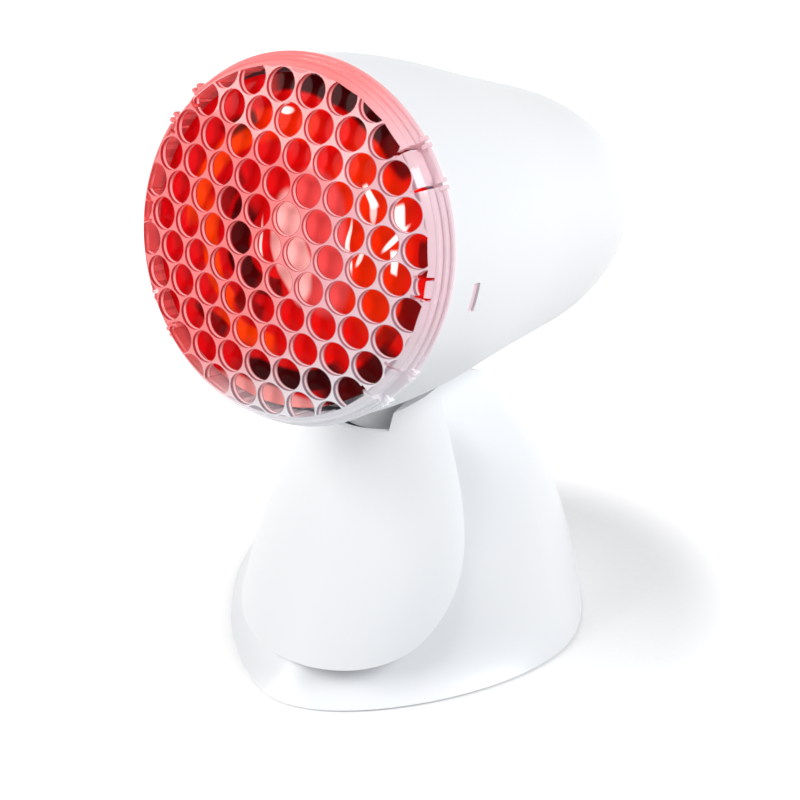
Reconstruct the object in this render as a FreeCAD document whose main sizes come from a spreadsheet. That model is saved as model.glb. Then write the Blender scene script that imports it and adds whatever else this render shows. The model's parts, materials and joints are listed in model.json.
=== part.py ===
import FreeCAD, Part
import math
import os

import Sketcher

# Table-top infrared heat lamp: a bullet-shaped head with a clear guard, tilting in five
# steps on a pedestal. Millimetres, +Z up, origin on the table under the middle of the
# pedestal, the lamp facing -Y.
#
# Two frames are used. The pedestal is drawn straight in the frame of the lamp. The head is
# drawn along its own axis (+Y runs backwards from the rim of its shell, +Z is up when the
# head is level) and then placed as a whole, turned about the pivot by the tilt at rest.

V = FreeCAD.Vector
doc = FreeCAD.newDocument("heat_lamp")

# ---------------------------------------------------------------------------------------
# Driving dimensions
# ---------------------------------------------------------------------------------------

SIZES = {
    "general": {
        "shell_wall": 2.2,
        "seat_gap": 0.1,
        "slide_gap": 0.3,
        "tilt_at_rest": 15,
        "tilt_step": 7.5,
        "pivot_back": -6,
        "pivot_height": 100,
        "pivot_behind_rim": 90.6,
        "pivot_below_axis": 77.6,
        "head_gap": 1.0,
    },
    "head shell": {
        "rim_radius": 66.6,
        "belly_radius": 67.4,
        "belly_at": 27.6,
        "waist_radius": 60.5,
        "waist_at": 94.6,
        "shoulder_radius": 54.6,
        "shoulder_at": 144.6,
        "head_length": 226.6,
        "dome_handle": 40,
        "tip_handle": 34,
        "window_at": 15.6,
        "window_width": 4.2,
        "window_length": 10.8,
        "window_drop": 6.2,
        "vent_width": 3,
        "vent_pitch": 7.5,
        "vent_top": -6,
        "vent_bottom": -30,
        "vent_depth": 40,
    },
    "guard": {
        "hole_pitch": 12.9,
        "hole_diameter": 12.0,
        "hole_field_radius": 62.6,
        "guard_radius": 67.7,
        "guard_front": 16.4,
        "guard_rise": 6.4,
        "guard_thickness": 3.0,
        "rim_step_radius": 64.4,
        "rim_step_front": 7.4,
        "rim_lip": 1.8,
        "rim_groove": 0.5,
        "spigot_depth": 2.0,
        "spigot_thickness": 1.9,
        "tongue_depth": 8,
        "tongue_angle": 36.5,
        "tongue_spread": 13,
        "hook_slit_spread": 6.6,
        "hook_slit_turn": 1.0,
        "hook_slit_inner_radius": 58,
        "hook_lip": 2.2,
        "slit_width": 1.3,
        "slit_inner_radius": 59.5,
        "slit_lip": 1.2,
        "slit_lip_spread": 3.4,
    },
    "bulb": {
        "bulb_radius": 60.3,
        "lens_front": 9.4,
        "lens_rise": 6.0,
        "lens_thickness": 3.5,
        "lens_edge": 3.0,
        "glass_wall": 2.0,
        "bowl_edge": 4.0,
        "bowl_end": 80.6,
        "neck_radius": 15.2,
        "neck_end": 96.6,
        "plug_thickness": 4,
        "cap_radius": 13.2,
        "cap_wall": 0.8,
        "cap_collar": 6,
        "cap_end": 121.6,
        "tip_radius": 5,
        "bulb_end": 126.6,
        "filament_at": 46.6,
        "filament_length": 26,
        "filament_radius": 1.3,
        "support_radius": 0.7,
    },
    "lamp holder": {
        "holder_radius": 21,
        "holder_wall": 6.4,
        "holder_front": 98.6,
        "holder_base": 12,
        "holder_mouth": 3,
        "sleeve_wall": 1.1,
        "sleeve_length": 26,
        "bracket_sheet": 1.5,
        "bracket_half": 15,
        "bracket_top": 20,
        "holder_screw_spread": 10,
        "shield_sheet": 0.8,
        "shield_front": 22,
        "shield_throat": 26,
        "shield_end": 78.6,
        "shield_air": 6.4,
    },
    "tilt arm": {
        "arm_half_width": 16.5,
        "arm_back": 10,
        "arm_nose": 28.5,
        "arm_drop": 5,
        "arm_plate": 3,
        "arm_plate_below_axis": 49,
        "drum_radius": 13,
        "sector_radius": 20,
        "sector_inner": 8,
        "sector_outer": 15,
        "notch_radius": 1.3,
        "lead_radius": 2.0,
        "lead_bore": 3.2,
        "lead_gap": 0.6,
        "boss_radius": 4,
        "boss_half_pitch": 11,
        "boss_edge": 2,
        "pin_radius": 4,
        "pin_gap": 0.05,
        "pin_depth": 9,
        "pin_head_radius": 6,
        "pin_head": 2.2,
        "washer_thickness": 0.7,
    },
    "stand frame": {
        "frame_sheet": 2.5,
        "frame_front": -20,
        "frame_back": 8,
        "frame_top_radius": 12,
        "cross_plate_top": 76,
        "leaf_thickness": 0.6,
        "leaf_width": 6,
        "leaf_leg": 12,
        "leaf_back": 8,
    },
    "pedestal": {
        "base_wall": 2.5,
        "plate_bottom": 1.2,
        "plate_thickness": 3,
        "plate_inset": 5,
        "part_gap": 0.3,
        "foot_radius": 6.2,
        "foot_height": 3,
        "foot_x": 44,
        "foot_front": -46,
        "foot_back": 42,
        "post_radius": 4.5,
        "post_height": 40,
        "post_x": 55,
        "post_front": -10,
        "post_back": 40,
        "cover_post_radius": 4.5,
        "cover_post_low": 30,
        "cover_post_high": 60,
        "notch_half_width": 17.5,
        "notch_floor": 107.5,
        "notch_back": 18,
        "ballast_half_width": 36,
        "ballast_front": 14,
        "ballast_back": 60,
        "ballast_height": 18,
        "terminal_half_width": 13,
        "terminal_depth": 14,
        "terminal_height": 12,
        "terminal_front": 28,
        "inlet_height": 16,
        "inlet_boss_radius": 11,
        "inlet_boss_stand": 3.0,
        "bush_radius": 6,
        "bush_flange_radius": 8,
        "bush_flange": 2.5,
        "bush_bore": 3.75,
        "bush_length": 12,
    },
    "fasteners": {
        "small_screw": 1.5,
        "small_head": 3.0,
        "small_head_height": 2.0,
        "frame_screw": 2.0,
        "frame_head": 3.6,
        "thread_depth": 9,
    },
}

# Horizontal sections of the pedestal, from the table up: height, half width, front, back,
# where it is widest, and how full its front and rear corners are.
SECTION_FIELDS = (
    "height", "half_width", "front", "back", "widest", "front_fullness", "rear_fullness")
BACK_SECTIONS = {
    "floor": (0.8, 80.8, -94.6, 80.8, 3.5, 0.40, 0.46),
    "skirt": (16, 74.5, -79, 80.5, 4.5, 0.34, 0.50),
    "hip": (40, 64.3, -56.5, 74.6, 8.5, 0.51, 0.54),
    "flank": (70, 53, -37.8, 58.5, 10, 0.48, 0.54),
    "neck": (95, 38.3, -33, 43.7, 3.8, 0.55, 0.54),
    "crown": (126, 21.8, -29, 20.5, -4.1, 0.55, 0.55),
}
COVER_SECTIONS = {
    "skirt": (8, 52.3, -92.2, 12, -36.2, 0.54, 0.54),
    "hip": (40, 48.6, -75, 11, -32.6, 0.57, 0.57),
    "flank": (70, 41.9, -60.5, 9, -25.3, 0.52, 0.52),
    "neck": (95, 33.7, -50.1, 6, -18.7, 0.51, 0.51),
    "crown": (126, 24.5, -39, 4, -12, 0.50, 0.50),
}
# Side view of the joint line between the cover and the back: how far back it is at a height.
JOINT_LINE = {
    "nose": (16, -98),
    "chin": (17, -86),
    "curl": (23.2, -61),
    "rise": (34, -43),
    "side": (50, -27.5),
    "shaft": (74, -19),
    "top": (130, -14),
}


class Size:
    """A length or an angle, with the spreadsheet expression that gives it."""

    def __init__(self, value, text):
        self.value = float(value)
        self.text = text

    def __add__(self, other):
        other = as_size(other)
        return Size(self.value + other.value, f"({self.text} + {other.text})")

    def __sub__(self, other):
        other = as_size(other)
        return Size(self.value - other.value, f"({self.text} - {other.text})")

    def __mul__(self, other):
        other = as_size(other)
        return Size(self.value * other.value, f"({self.text} * {other.text})")

    def __truediv__(self, other):
        other = as_size(other)
        return Size(self.value / other.value, f"({self.text} / {other.text})")

    def __radd__(self, other):
        return as_size(other) + self

    def __rsub__(self, other):
        return as_size(other) - self

    def __rmul__(self, other):
        return as_size(other) * self

    def __neg__(self):
        return Size(-self.value, f"(0 - {self.text})")

    def __float__(self):
        return self.value


def as_size(number):
    return number if isinstance(number, Size) else Size(number, repr(float(number)))


class Sizes:
    """The spreadsheet, with each of its named cells as an attribute."""

    def __init__(self):
        self.sheet = doc.addObject("Spreadsheet::Sheet", "Sizes")
        self.row = 0

    def title(self, text):
        self.row += 1
        self.sheet.set(f"A{self.row}", text)

    def add(self, alias, value):
        self.row += 1
        self.sheet.set(f"A{self.row}", alias)
        self.sheet.set(f"B{self.row}", str(value))
        self.sheet.setAlias(f"B{self.row}", alias)
        setattr(self, alias, Size(value, f"Sizes.{alias}"))


def write_sizes():
    sizes = Sizes()
    for title, cells in SIZES.items():
        sizes.title(title)
        for alias, value in cells.items():
            sizes.add(alias, value)
    for prefix, table in (("back", BACK_SECTIONS), ("cover", COVER_SECTIONS)):
        sizes.title(f"{prefix} sections")
        for level, values in table.items():
            for field, value in zip(SECTION_FIELDS, values):
                sizes.add(f"{prefix}_{level}_{field}", value)
    sizes.title("joint line")
    for point, (height, back) in JOINT_LINE.items():
        sizes.add(f"joint_{point}_height", height)
        sizes.add(f"joint_{point}_back", back)
    doc.recompute()
    return sizes


d = write_sizes()
NODES = []


def node(piece, label, frame=None):
    """Name a finished sub-part, and put it in the frame that it was drawn for."""
    piece.Label = label
    if frame is not None:
        piece.Placement = frame
    NODES.append(piece)
    return piece


# ---------------------------------------------------------------------------------------
# Building blocks
# ---------------------------------------------------------------------------------------

TURN = {
    "X": FreeCAD.Rotation(V(0, 1, 0), 90),
    "Y": FreeCAD.Rotation(V(1, 0, 0), -90),
    "Z": FreeCAD.Rotation(),
}


def bind(piece, **values):
    for name, value in values.items():
        piece.setExpression(name, as_size(value).text)


def move_to(piece, spot):
    for axis, value in zip("xyz", spot):
        piece.setExpression(f"Placement.Base.{axis}", as_size(value).text)


def block(name, low, high):
    """A box between two corners."""
    piece = doc.addObject("Part::Box", name)
    bind(piece, Length=high[0] - low[0], Width=high[1] - low[1], Height=high[2] - low[2])
    move_to(piece, low)
    return piece


def rod(name, start, radius, length, direction):
    """A cylinder from a start point along X, Y or Z."""
    piece = doc.addObject("Part::Cylinder", name)
    bind(piece, Radius=radius, Height=length)
    piece.Placement.Rotation = TURN[direction]
    move_to(piece, start)
    return piece


def held(name, shape):
    """A shape worked out by this file, kept as an object of the document."""
    piece = doc.addObject("Part::Feature", name)
    piece.Shape = shape
    return piece


def fused(name, pieces):
    piece = doc.addObject("Part::MultiFuse", name)
    piece.Shapes = pieces
    return piece


def cut(name, base, *tools):
    piece = doc.addObject("Part::Cut", name)
    piece.Base = base
    piece.Tool = tools[0] if len(tools) == 1 else fused(f"{name}_tools", list(tools))
    return piece


def common(name, first, second):
    piece = doc.addObject("Part::Common", name)
    piece.Base = first
    piece.Tool = second
    return piece


def pin_corner(sketch, corner, kind, axis, value):
    """Tie one coordinate of a corner to its size, or to the sketch's axis where it is 0."""
    if abs(value.value) < 1e-9:
        sketch.addConstraint(Sketcher.Constraint("PointOnObject", corner, 1, axis))
        return
    index = sketch.addConstraint(Sketcher.Constraint(kind, -1, 1, corner, 1, value.value))
    sketch.setExpression(f"Constraints[{index}]", value.text)


def draw_outline(sketch, corners):
    """A closed outline of straight lines whose corners are tied to the sizes."""
    corners = [(as_size(across), as_size(along)) for across, along in corners]
    count = len(corners)
    for index, corner in enumerate(corners):
        following = corners[(index + 1) % count]
        start = V(corner[0].value, corner[1].value, 0)
        end = V(following[0].value, following[1].value, 0)
        sketch.addGeometry(Part.LineSegment(start, end), False)
    for index in range(count):
        joint = Sketcher.Constraint("Coincident", index, 2, (index + 1) % count, 1)
        sketch.addConstraint(joint)
    for index, (across, along) in enumerate(corners):
        pin_corner(sketch, index, "DistanceX", -2, across)
        pin_corner(sketch, index, "DistanceY", -1, along)


def new_sketch(body, plane_role, corners):
    sketch = body.newObject("Sketcher::SketchObject", f"{body.Name}_sketch")
    plane = next(plane for plane in body.Origin.OriginFeatures if plane.Role == plane_role)
    sketch.AttachmentSupport = (plane, [""])
    sketch.MapMode = "FlatFace"
    draw_outline(sketch, corners)
    return sketch


def turned(name, corners, direction):
    """A body turned about Y or Z from (radius, along the axis) corners."""
    body = doc.addObject("PartDesign::Body", name)
    sketch = new_sketch(body, "XY_Plane" if direction == "Y" else "XZ_Plane", corners)
    feature = body.newObject("PartDesign::Revolution", f"{name}_turn")
    feature.Profile = sketch
    feature.ReferenceAxis = (sketch, ["V_Axis"])
    feature.Angle = 360
    return body


def pressed(name, plane_role, corners, thickness):
    """A body padded to both sides of an origin plane from an outline."""
    body = doc.addObject("PartDesign::Body", name)
    sketch = new_sketch(body, plane_role, corners)
    feature = body.newObject("PartDesign::Pad", f"{name}_pad")
    feature.Profile = sketch
    feature.Midplane = True
    bind(feature, Length=thickness)
    return body


def copies(name, pattern, spots, direction="Z"):
    """Separate copies of one shape at several spots, turned to point along an axis."""
    doc.recompute()
    shapes = []
    for spot in spots:
        shape = pattern.Shape.copy()
        place = V(*(float(value) for value in spot))
        shape.Placement = FreeCAD.Placement(place, TURN[direction]) * shape.Placement
        shapes.append(shape)
    return held(name, Part.makeCompound(shapes))


def screw(name, radius, head_radius, head_height, length):
    """A pan-head screw along Z, its shank going down from the origin."""
    body_corners = [
        (0, -length),
        (radius, -length),
        (radius, 0),
        (head_radius, 0),
        (head_radius, head_height * 0.6),
        (head_radius * 0.7, head_height),
        (0, head_height),
    ]
    return turned(name, body_corners, "Z")


def spin(wire_edges, angle=360):
    """A solid turned about the Y axis from a closed outline in the XY plane."""
    face = Part.Face(Part.Wire(wire_edges))
    return face.revolve(V(0, 0, 0), V(0, 1, 0), angle)


def polyline(points):
    """Straight edges through points of the XY plane, given as (across, along)."""
    spots = [V(float(across), float(along), 0) for across, along in points]
    return [Part.LineSegment(a, b).toShape() for a, b in zip(spots, spots[1:])]


# ---------------------------------------------------------------------------------------
# Frames
# ---------------------------------------------------------------------------------------


def head_frame(tilt):
    """Where the head's own frame lies when the head points up by an angle."""
    pivot = V(0, float(d.pivot_back), float(d.pivot_height))
    rim = V(0, -float(d.pivot_behind_rim), float(d.pivot_below_axis))
    turn = FreeCAD.Placement(pivot, FreeCAD.Rotation(V(1, 0, 0), -float(tilt)))
    return turn * FreeCAD.Placement(rim, FreeCAD.Rotation())


HEAD = head_frame(d.tilt_at_rest)
PIVOT_AT = d.pivot_behind_rim
PIVOT_Z = -d.pivot_below_axis


# ---------------------------------------------------------------------------------------
# Head shell
# ---------------------------------------------------------------------------------------


def shell_outline(inset, front):
    """Half outline of the shell in the XY plane, from the rim to the tip, closed on the axis."""
    points = [
        V(float(d.rim_radius) - inset, 0, 0),
        V(float(d.belly_radius) - inset, float(d.belly_at), 0),
        V(float(d.waist_radius) - inset, float(d.waist_at), 0),
        V(float(d.shoulder_radius) - inset, float(d.shoulder_at), 0),
    ]
    taper = (points[3] - points[2]).normalize()
    entry = V(float(d.belly_radius) - float(d.rim_radius), float(d.belly_at) / 2, 0).normalize()
    side = Part.BSplineCurve()
    side.interpolate(Points=points, InitialTangent=entry, FinalTangent=taper)
    tip = V(0, float(d.head_length) - inset, 0)
    dome = Part.BezierCurve()
    dome.setPoles(
        [
            points[3],
            points[3] + taper * float(d.dome_handle),
            tip + V(float(d.tip_handle), 0, 0),
            tip,
        ]
    )
    lead_in = polyline([(0, front), (points[0].x, front)])
    if front < 0:
        lead_in += polyline([(points[0].x, front), (points[0].x, 0)])
    return lead_in + [side.toShape(), dome.toShape()] + polyline([(0, tip.y), (0, front)])


ARM_SLOT_FRONT = PIVOT_AT - d.arm_nose - d.slide_gap
ARM_SLOT_BACK = PIVOT_AT + d.arm_back + d.slide_gap
SMALL_PILOT = d.small_screw + d.pin_gap
BOSS_REACH = d.boss_radius + d.boss_edge
BOSS_FRONT = ARM_SLOT_FRONT - BOSS_REACH
BOSS_BACK = ARM_SLOT_BACK + BOSS_REACH
BOSS_TOP = -d.arm_plate_below_axis - d.arm_plate
BOSS_SPOTS = [(side * d.boss_half_pitch, at) for at in (BOSS_FRONT, BOSS_BACK) for side in (-1, 1)]


def shell_cavity(gap, name):
    return held(name, spin(shell_outline(float(d.shell_wall) + gap, -1.0)))


def make_head_shell():
    outside = held("shell_outside", spin(shell_outline(0.0, 0.0)))
    inside = shell_cavity(0.0, "shell_inside")
    wall = cut("shell_wall_only", outside, inside)
    posts = [
        rod(f"shell_post_{index}", (x, y, BOSS_TOP - 20), d.boss_radius, 20, "Z")
        for index, (x, y) in enumerate(BOSS_SPOTS)
    ]
    bosses = common("shell_bosses", fused("shell_posts", posts), outside)
    body = fused("shell_with_bosses", [wall, bosses])
    pilots = [
        rod(f"shell_pilot_{index}", (x, y, BOSS_TOP - d.thread_depth), SMALL_PILOT,
            d.thread_depth + 1, "Z")
        for index, (x, y) in enumerate(BOSS_SPOTS)
    ]
    half = d.arm_half_width + d.slide_gap
    slot = block("shell_arm_slot", (-half, ARM_SLOT_FRONT, -d.belly_radius - 5),
                 (half, ARM_SLOT_BACK, -d.shoulder_radius + 10))
    window_bottom = -d.window_drop - d.window_length / 2
    windows = block("shell_windows", (-d.belly_radius - 5, d.window_at, window_bottom),
                    (d.belly_radius + 5, d.window_at + d.window_width,
                     window_bottom + d.window_length))
    vents = []
    for step in range(-3, 4):
        centre = step * d.vent_pitch
        low = (centre - d.vent_width / 2, d.head_length - d.vent_depth, d.vent_bottom)
        high = (centre + d.vent_width / 2, d.head_length + 5, d.vent_top)
        vents.append(block(f"shell_vent_{step + 4}", low, high))
    shell = cut("head_shell", body, slot, windows, *pilots, *vents)
    return node(shell, "head_shell", HEAD)


# ---------------------------------------------------------------------------------------
# Guard
# ---------------------------------------------------------------------------------------


def cap_radius(reach, rise):
    """Radius of the sphere that rises by so much at a distance from the axis."""
    return (reach * reach + rise * rise) / (2 * rise)


def cap_arc(apex, radius, reach, inward=False):
    """Arc of a sphere centred on the axis, from its apex out to a distance from the axis."""

    def spot(across):
        return V(across, apex + radius - math.sqrt(radius * radius - across * across), 0)

    points = [spot(0.0), spot(reach / 2), spot(reach)]
    if inward:
        points.reverse()
    return Part.Arc(*points).toShape(), points[0], points[-1]


TONGUE_ANGLES = [
    float(d.tongue_angle), -float(d.tongue_angle),
    180 - float(d.tongue_angle), 180 + float(d.tongue_angle),
]
SPIGOT_OUTER = d.rim_radius - d.shell_wall - d.seat_gap
SPIGOT_INNER = SPIGOT_OUTER - d.spigot_thickness
RIM_STEPS = 3


def rim_steps():
    """Outline of the stepped rim, from its inner edge out: grooved steps that go backwards."""
    width = float(d.guard_radius - d.rim_step_radius) / RIM_STEPS
    depth = float(d.rim_step_front - d.rim_lip) / (RIM_STEPS - 1)
    groove = float(d.rim_groove)
    points = []
    for step in range(RIM_STEPS):
        inner = float(d.rim_step_radius) + step * width
        front = -float(d.rim_step_front) + step * depth
        points += [(inner, front), (inner + width - groove, front),
                   (inner + width, front + groove)]
    return points


def guard_blank():
    """The guard without its holes: domed face, plain band, stepped rim and spigot."""
    front = -float(d.guard_front)
    thickness = float(d.guard_thickness)
    sphere = cap_radius(float(d.hole_field_radius), float(d.guard_rise))
    face, apex, shoulder = cap_arc(front, sphere, float(d.hole_field_radius))
    back, back_edge, back_apex = cap_arc(
        front + thickness, sphere - thickness, float(SPIGOT_INNER) - 0.5, inward=True)
    edge_points = [(shoulder.x, shoulder.y)] + rim_steps() + [
        (d.guard_radius, 0),
        (SPIGOT_OUTER, 0),
        (SPIGOT_OUTER, d.spigot_depth),
        (SPIGOT_INNER, d.spigot_depth),
        (SPIGOT_INNER, back_edge.y),
        (back_edge.x, back_edge.y),
    ]
    closing = polyline([(0, back_apex.y), (0, apex.y)])
    return spin([face] + polyline(edge_points) + [back] + closing)


def hole_centres():
    """Hole centres on a hexagonal grid about the axis, as (across, up)."""
    pitch = float(d.hole_pitch)
    reach = float(d.hole_field_radius) + float(d.hole_diameter) * 0.2
    rows = int(reach / pitch / math.cos(math.radians(30))) + 1
    centres = []
    for row in range(-rows, rows + 1):
        up = row * pitch * math.sin(math.radians(60))
        shift = 0.5 * (row % 2)
        for column in range(-rows - 1, rows + 2):
            across = (column + shift) * pitch
            if math.hypot(across, up) < reach:
                centres.append((across, up))
    return centres


def hole_tools():
    """One drill for each hole, with a flat where the hole reaches the edge of the field."""
    radius = float(d.hole_diameter) / 2
    length = float(d.guard_front) + 20
    flat_at = float(d.hole_field_radius)
    tools = []
    for across, up in hole_centres():
        drill = Part.makeCylinder(radius, length, V(across, -length + 8, up), V(0, 1, 0))
        distance = math.hypot(across, up)
        if distance + radius > flat_at:
            keep = Part.makeBox(4 * radius, length, 4 * radius)
            keep.translate(V(flat_at - 4 * radius, -length + 8, -2 * radius))
            keep.rotate(V(0, 0, 0), V(0, 1, 0), -math.degrees(math.atan2(up, across)))
            drill = drill.common(keep)
        tools.append(drill)
    return Part.makeCompound(tools)


def ring_piece(inner, outer, front, back, middle, spread):
    """Part of a ring about the axis, centred on an angle and as wide as a spread."""
    corners = [(inner, front), (outer, front), (outer, back), (inner, back), (inner, front)]
    piece = spin(polyline(corners), spread)
    piece.rotate(V(0, 0, 0), V(0, 1, 0), -middle - spread / 2)
    return piece


def slit(angle, inner, outer, front, back):
    """A narrow radial cut through the guard's rim."""
    width = float(d.slit_width)
    piece = Part.makeBox(outer - inner, back - front, width, V(inner, front, -width / 2))
    piece.rotate(V(0, 0, 0), V(0, 1, 0), -angle)
    return piece


def guard_latches():
    """Four wide tongues, and two legs whose noses catch in the shell's windows."""
    inner = float(SPIGOT_INNER)
    outer = float(SPIGOT_OUTER)
    pieces = []
    for middle in TONGUE_ANGLES:
        spread = float(d.tongue_spread) - 1
        pieces.append(ring_piece(inner, outer, -1.0, float(d.tongue_depth), middle, spread))
    hook_end = float(d.window_at + d.window_width - d.slide_gap)
    nose_front = float(d.window_at + d.slide_gap)
    drop = math.degrees(math.asin(float(d.window_drop) / outer))
    spread = math.degrees(float(d.window_length - 2 * d.slide_gap) / outer)
    for middle in (-drop, 180 + drop):
        leg = ring_piece(inner, outer, -1.0, hook_end, middle, spread)
        nose = ring_piece(inner, outer + float(d.hook_lip), nose_front, hook_end, middle, spread)
        pieces.append(leg.fuse(nose).removeSplitter())
    return pieces


def guard_slits():
    """Slits on both sides of each tongue and each hook, which let them spring."""
    front = -float(d.guard_front)
    rim = float(d.guard_radius) + float(d.slit_lip) + 1
    cuts = []
    for middle in TONGUE_ANGLES:
        for side in (-1, 1):
            angle = middle + side * float(d.tongue_spread) / 2
            cuts.append(slit(angle, float(d.slit_inner_radius), rim, front, 0.5))
    turn = float(d.hook_slit_turn)
    for middle in (-turn, 180 + turn):
        for side in (-1, 1):
            angle = middle + side * float(d.hook_slit_spread) / 2
            cuts.append(slit(angle, float(d.hook_slit_inner_radius), float(d.rim_step_radius),
                             front, float(d.spigot_depth)))
    return cuts


def make_guard():
    rim = float(d.guard_radius)
    front = -float(d.guard_front)
    lip = -float(d.rim_lip)
    spread = float(d.tongue_spread)
    bands = [
        ring_piece(float(d.rim_step_radius), rim + 1, front, lip, middle, spread)
        for middle in TONGUE_ANGLES
    ]
    lips = [
        ring_piece(rim - 1.5, rim + float(d.slit_lip), lip - 1.6, -0.3,
                   middle + side * spread / 2, float(d.slit_lip_spread))
        for middle in TONGUE_ANGLES for side in (-1, 1)
    ]
    blank = held("guard_blank", guard_blank())
    banded = cut("guard_banded", blank, held("guard_bands", Part.makeCompound(bands)))
    extras = held("guard_extras", Part.makeCompound(guard_latches() + lips))
    body = fused("guard_body", [banded, extras])
    slits = held("guard_slits", Part.makeCompound(guard_slits()))
    holes = held("guard_holes", hole_tools())
    slitted = cut("guard_slitted", body, slits)
    return node(cut("guard_grille", slitted, holes), "guard_grille", HEAD)


# ---------------------------------------------------------------------------------------
# Bulb
# ---------------------------------------------------------------------------------------


def bowl_radius(at, inset):
    """Radius of the bulb's parabolic bowl at a depth."""
    share = (float(d.bowl_end) - at) / (float(d.bowl_end) - BOWL_START)
    return float(d.bulb_radius) * math.sqrt(max(share, 0.0)) - inset


LENS_BACK = float(d.lens_rise - d.lens_front + d.lens_edge)
BOWL_START = LENS_BACK + float(d.bowl_edge)


def bowl_curve(inset, from_edge):
    """Smooth half outline of the bowl between its edge and its neck."""
    neck = float(d.neck_radius) + 1.3
    last = float(d.bowl_end) - (neck / float(d.bulb_radius)) ** 2 * (float(d.bowl_end) - BOWL_START)
    steps = 8
    points = []
    for step in range(steps + 1):
        at = BOWL_START + (last - BOWL_START) * step / steps
        points.append(V(bowl_radius(at, inset), at, 0))
    if not from_edge:
        points.reverse()
    curve = Part.BSplineCurve()
    curve.interpolate(points)
    return curve.toShape(), points[0], points[-1]


def make_bulb():
    radius = float(d.bulb_radius)
    front = -float(d.lens_front)
    thickness = float(d.lens_thickness)
    sphere = cap_radius(radius, float(d.lens_rise))
    face, apex, edge = cap_arc(front, sphere, radius)
    back, back_edge, back_apex = cap_arc(
        front + thickness, sphere - thickness, radius - thickness, inward=True)
    rim = polyline([(radius, edge.y), (radius, LENS_BACK), (back_edge.x, LENS_BACK),
                    (back_edge.x, back_edge.y)])
    closing = polyline([(0, back_apex.y), (0, apex.y)])
    lens = held("bulb_lens", spin([face] + rim + [back] + closing))
    node(lens, "bulb_lens", HEAD)

    wall = float(d.glass_wall)
    neck = float(d.neck_radius)
    neck_end = float(d.neck_end)
    plug = neck_end - float(d.plug_thickness)
    outer, outer_start, outer_last = bowl_curve(0.0, True)
    inside, inside_start, inside_last = bowl_curve(wall, False)
    start = polyline([(inside_last.x, LENS_BACK), (radius, LENS_BACK), (radius, outer_start.y)])
    end = polyline([(outer_last.x, outer_last.y), (neck, neck_end - 12), (neck, neck_end),
                    (0, neck_end), (0, plug), (neck - wall, plug), (neck - wall, neck_end - 12),
                    (inside_start.x, inside_start.y)])
    close = polyline([(inside_last.x, inside_last.y), (inside_last.x, LENS_BACK)])
    glass = held("bulb_glass", spin(start + [outer] + end + [inside] + close))
    node(glass, "bulb_glass", HEAD)

    collar = d.neck_radius + d.cap_wall
    step = d.neck_end + d.seat_gap
    cap = turned("bulb_cap", [
        (d.neck_radius + d.seat_gap, d.neck_end - d.cap_collar),
        (collar, d.neck_end - d.cap_collar),
        (collar, step),
        (d.cap_radius, step + 3),
        (d.cap_radius, d.cap_end - 4),
        (d.tip_radius + 3, d.cap_end),
        (d.tip_radius + 1 + d.pin_gap, d.cap_end),
        (d.tip_radius + 1 + d.pin_gap, d.cap_end - 2),
        (d.cap_radius - d.cap_wall, d.cap_end - 5),
        (d.cap_radius - d.cap_wall, step + 2.6),
        (d.neck_radius + d.seat_gap, step),
    ], "Y")
    node(cap, "bulb_cap", HEAD)
    tip = turned("bulb_tip", [
        (0, d.cap_end - 2), (d.tip_radius + 1, d.cap_end - 2), (d.tip_radius + 1, d.cap_end),
        (d.tip_radius, d.cap_end + 1), (d.tip_radius - 2, d.bulb_end), (0, d.bulb_end),
    ], "Y")
    node(tip, "bulb_tip", HEAD)

    half = d.filament_length / 2
    at = d.filament_at
    coil = rod("filament_coil", (-half, at, 0), d.filament_radius, d.filament_length, "X")
    support_length = d.neck_end - d.plug_thickness - at
    spread = half - 3
    wires = [
        rod(f"filament_wire_{index}", (side * spread, at, 0), d.support_radius,
            support_length, "Y")
        for index, side in enumerate((-1, 1))
    ]
    node(fused("bulb_filament", [coil] + wires), "bulb_filament", HEAD)


# ---------------------------------------------------------------------------------------
# Lamp holder, bracket and heat shield
# ---------------------------------------------------------------------------------------

HOLDER_SEAT = d.bulb_end + 2
HOLDER_BACK = HOLDER_SEAT + d.holder_base
HOLDER_SCREWS = [(side * d.holder_screw_spread, HOLDER_BACK, 0) for side in (-1, 1)]


def make_holder():
    bore = d.holder_radius - d.holder_wall
    ceramic = turned("holder_ceramic", [
        (bore, d.holder_front + 1), (bore + d.holder_mouth, d.holder_front - 2),
        (d.holder_radius - 2, d.holder_front - 2),
        (d.holder_radius - 1, d.holder_front + 1), (d.holder_radius, d.holder_front + 4),
        (d.holder_radius, HOLDER_BACK - 1), (d.holder_radius - 1, HOLDER_BACK),
        (0, HOLDER_BACK), (0, HOLDER_SEAT), (bore, HOLDER_SEAT),
    ], "Y")
    pilots = [
        rod(f"holder_pilot_{index}", (x, HOLDER_BACK - d.thread_depth, z), d.small_screw + 0.1,
            d.thread_depth + 1, "Y")
        for index, (x, _, z) in enumerate(HOLDER_SCREWS)
    ]
    node(cut("lamp_holder", ceramic, *pilots), "lamp_holder", HEAD)

    outer = bore - d.seat_gap
    inner = outer - d.sleeve_wall
    front = d.holder_front + 1
    sleeve = turned("holder_sleeve", [
        (inner, front), (outer, front), (outer, front + d.sleeve_length),
        (inner, front + d.sleeve_length),
    ], "Y")
    node(sleeve, "holder_sleeve", HEAD)
    contact = turned("holder_contact", [
        (0, d.bulb_end), (d.tip_radius - 1, d.bulb_end), (d.tip_radius, HOLDER_SEAT - 1),
        (d.tip_radius + 1, HOLDER_SEAT), (0, HOLDER_SEAT),
    ], "Y")
    node(contact, "holder_contact", HEAD)


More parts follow.
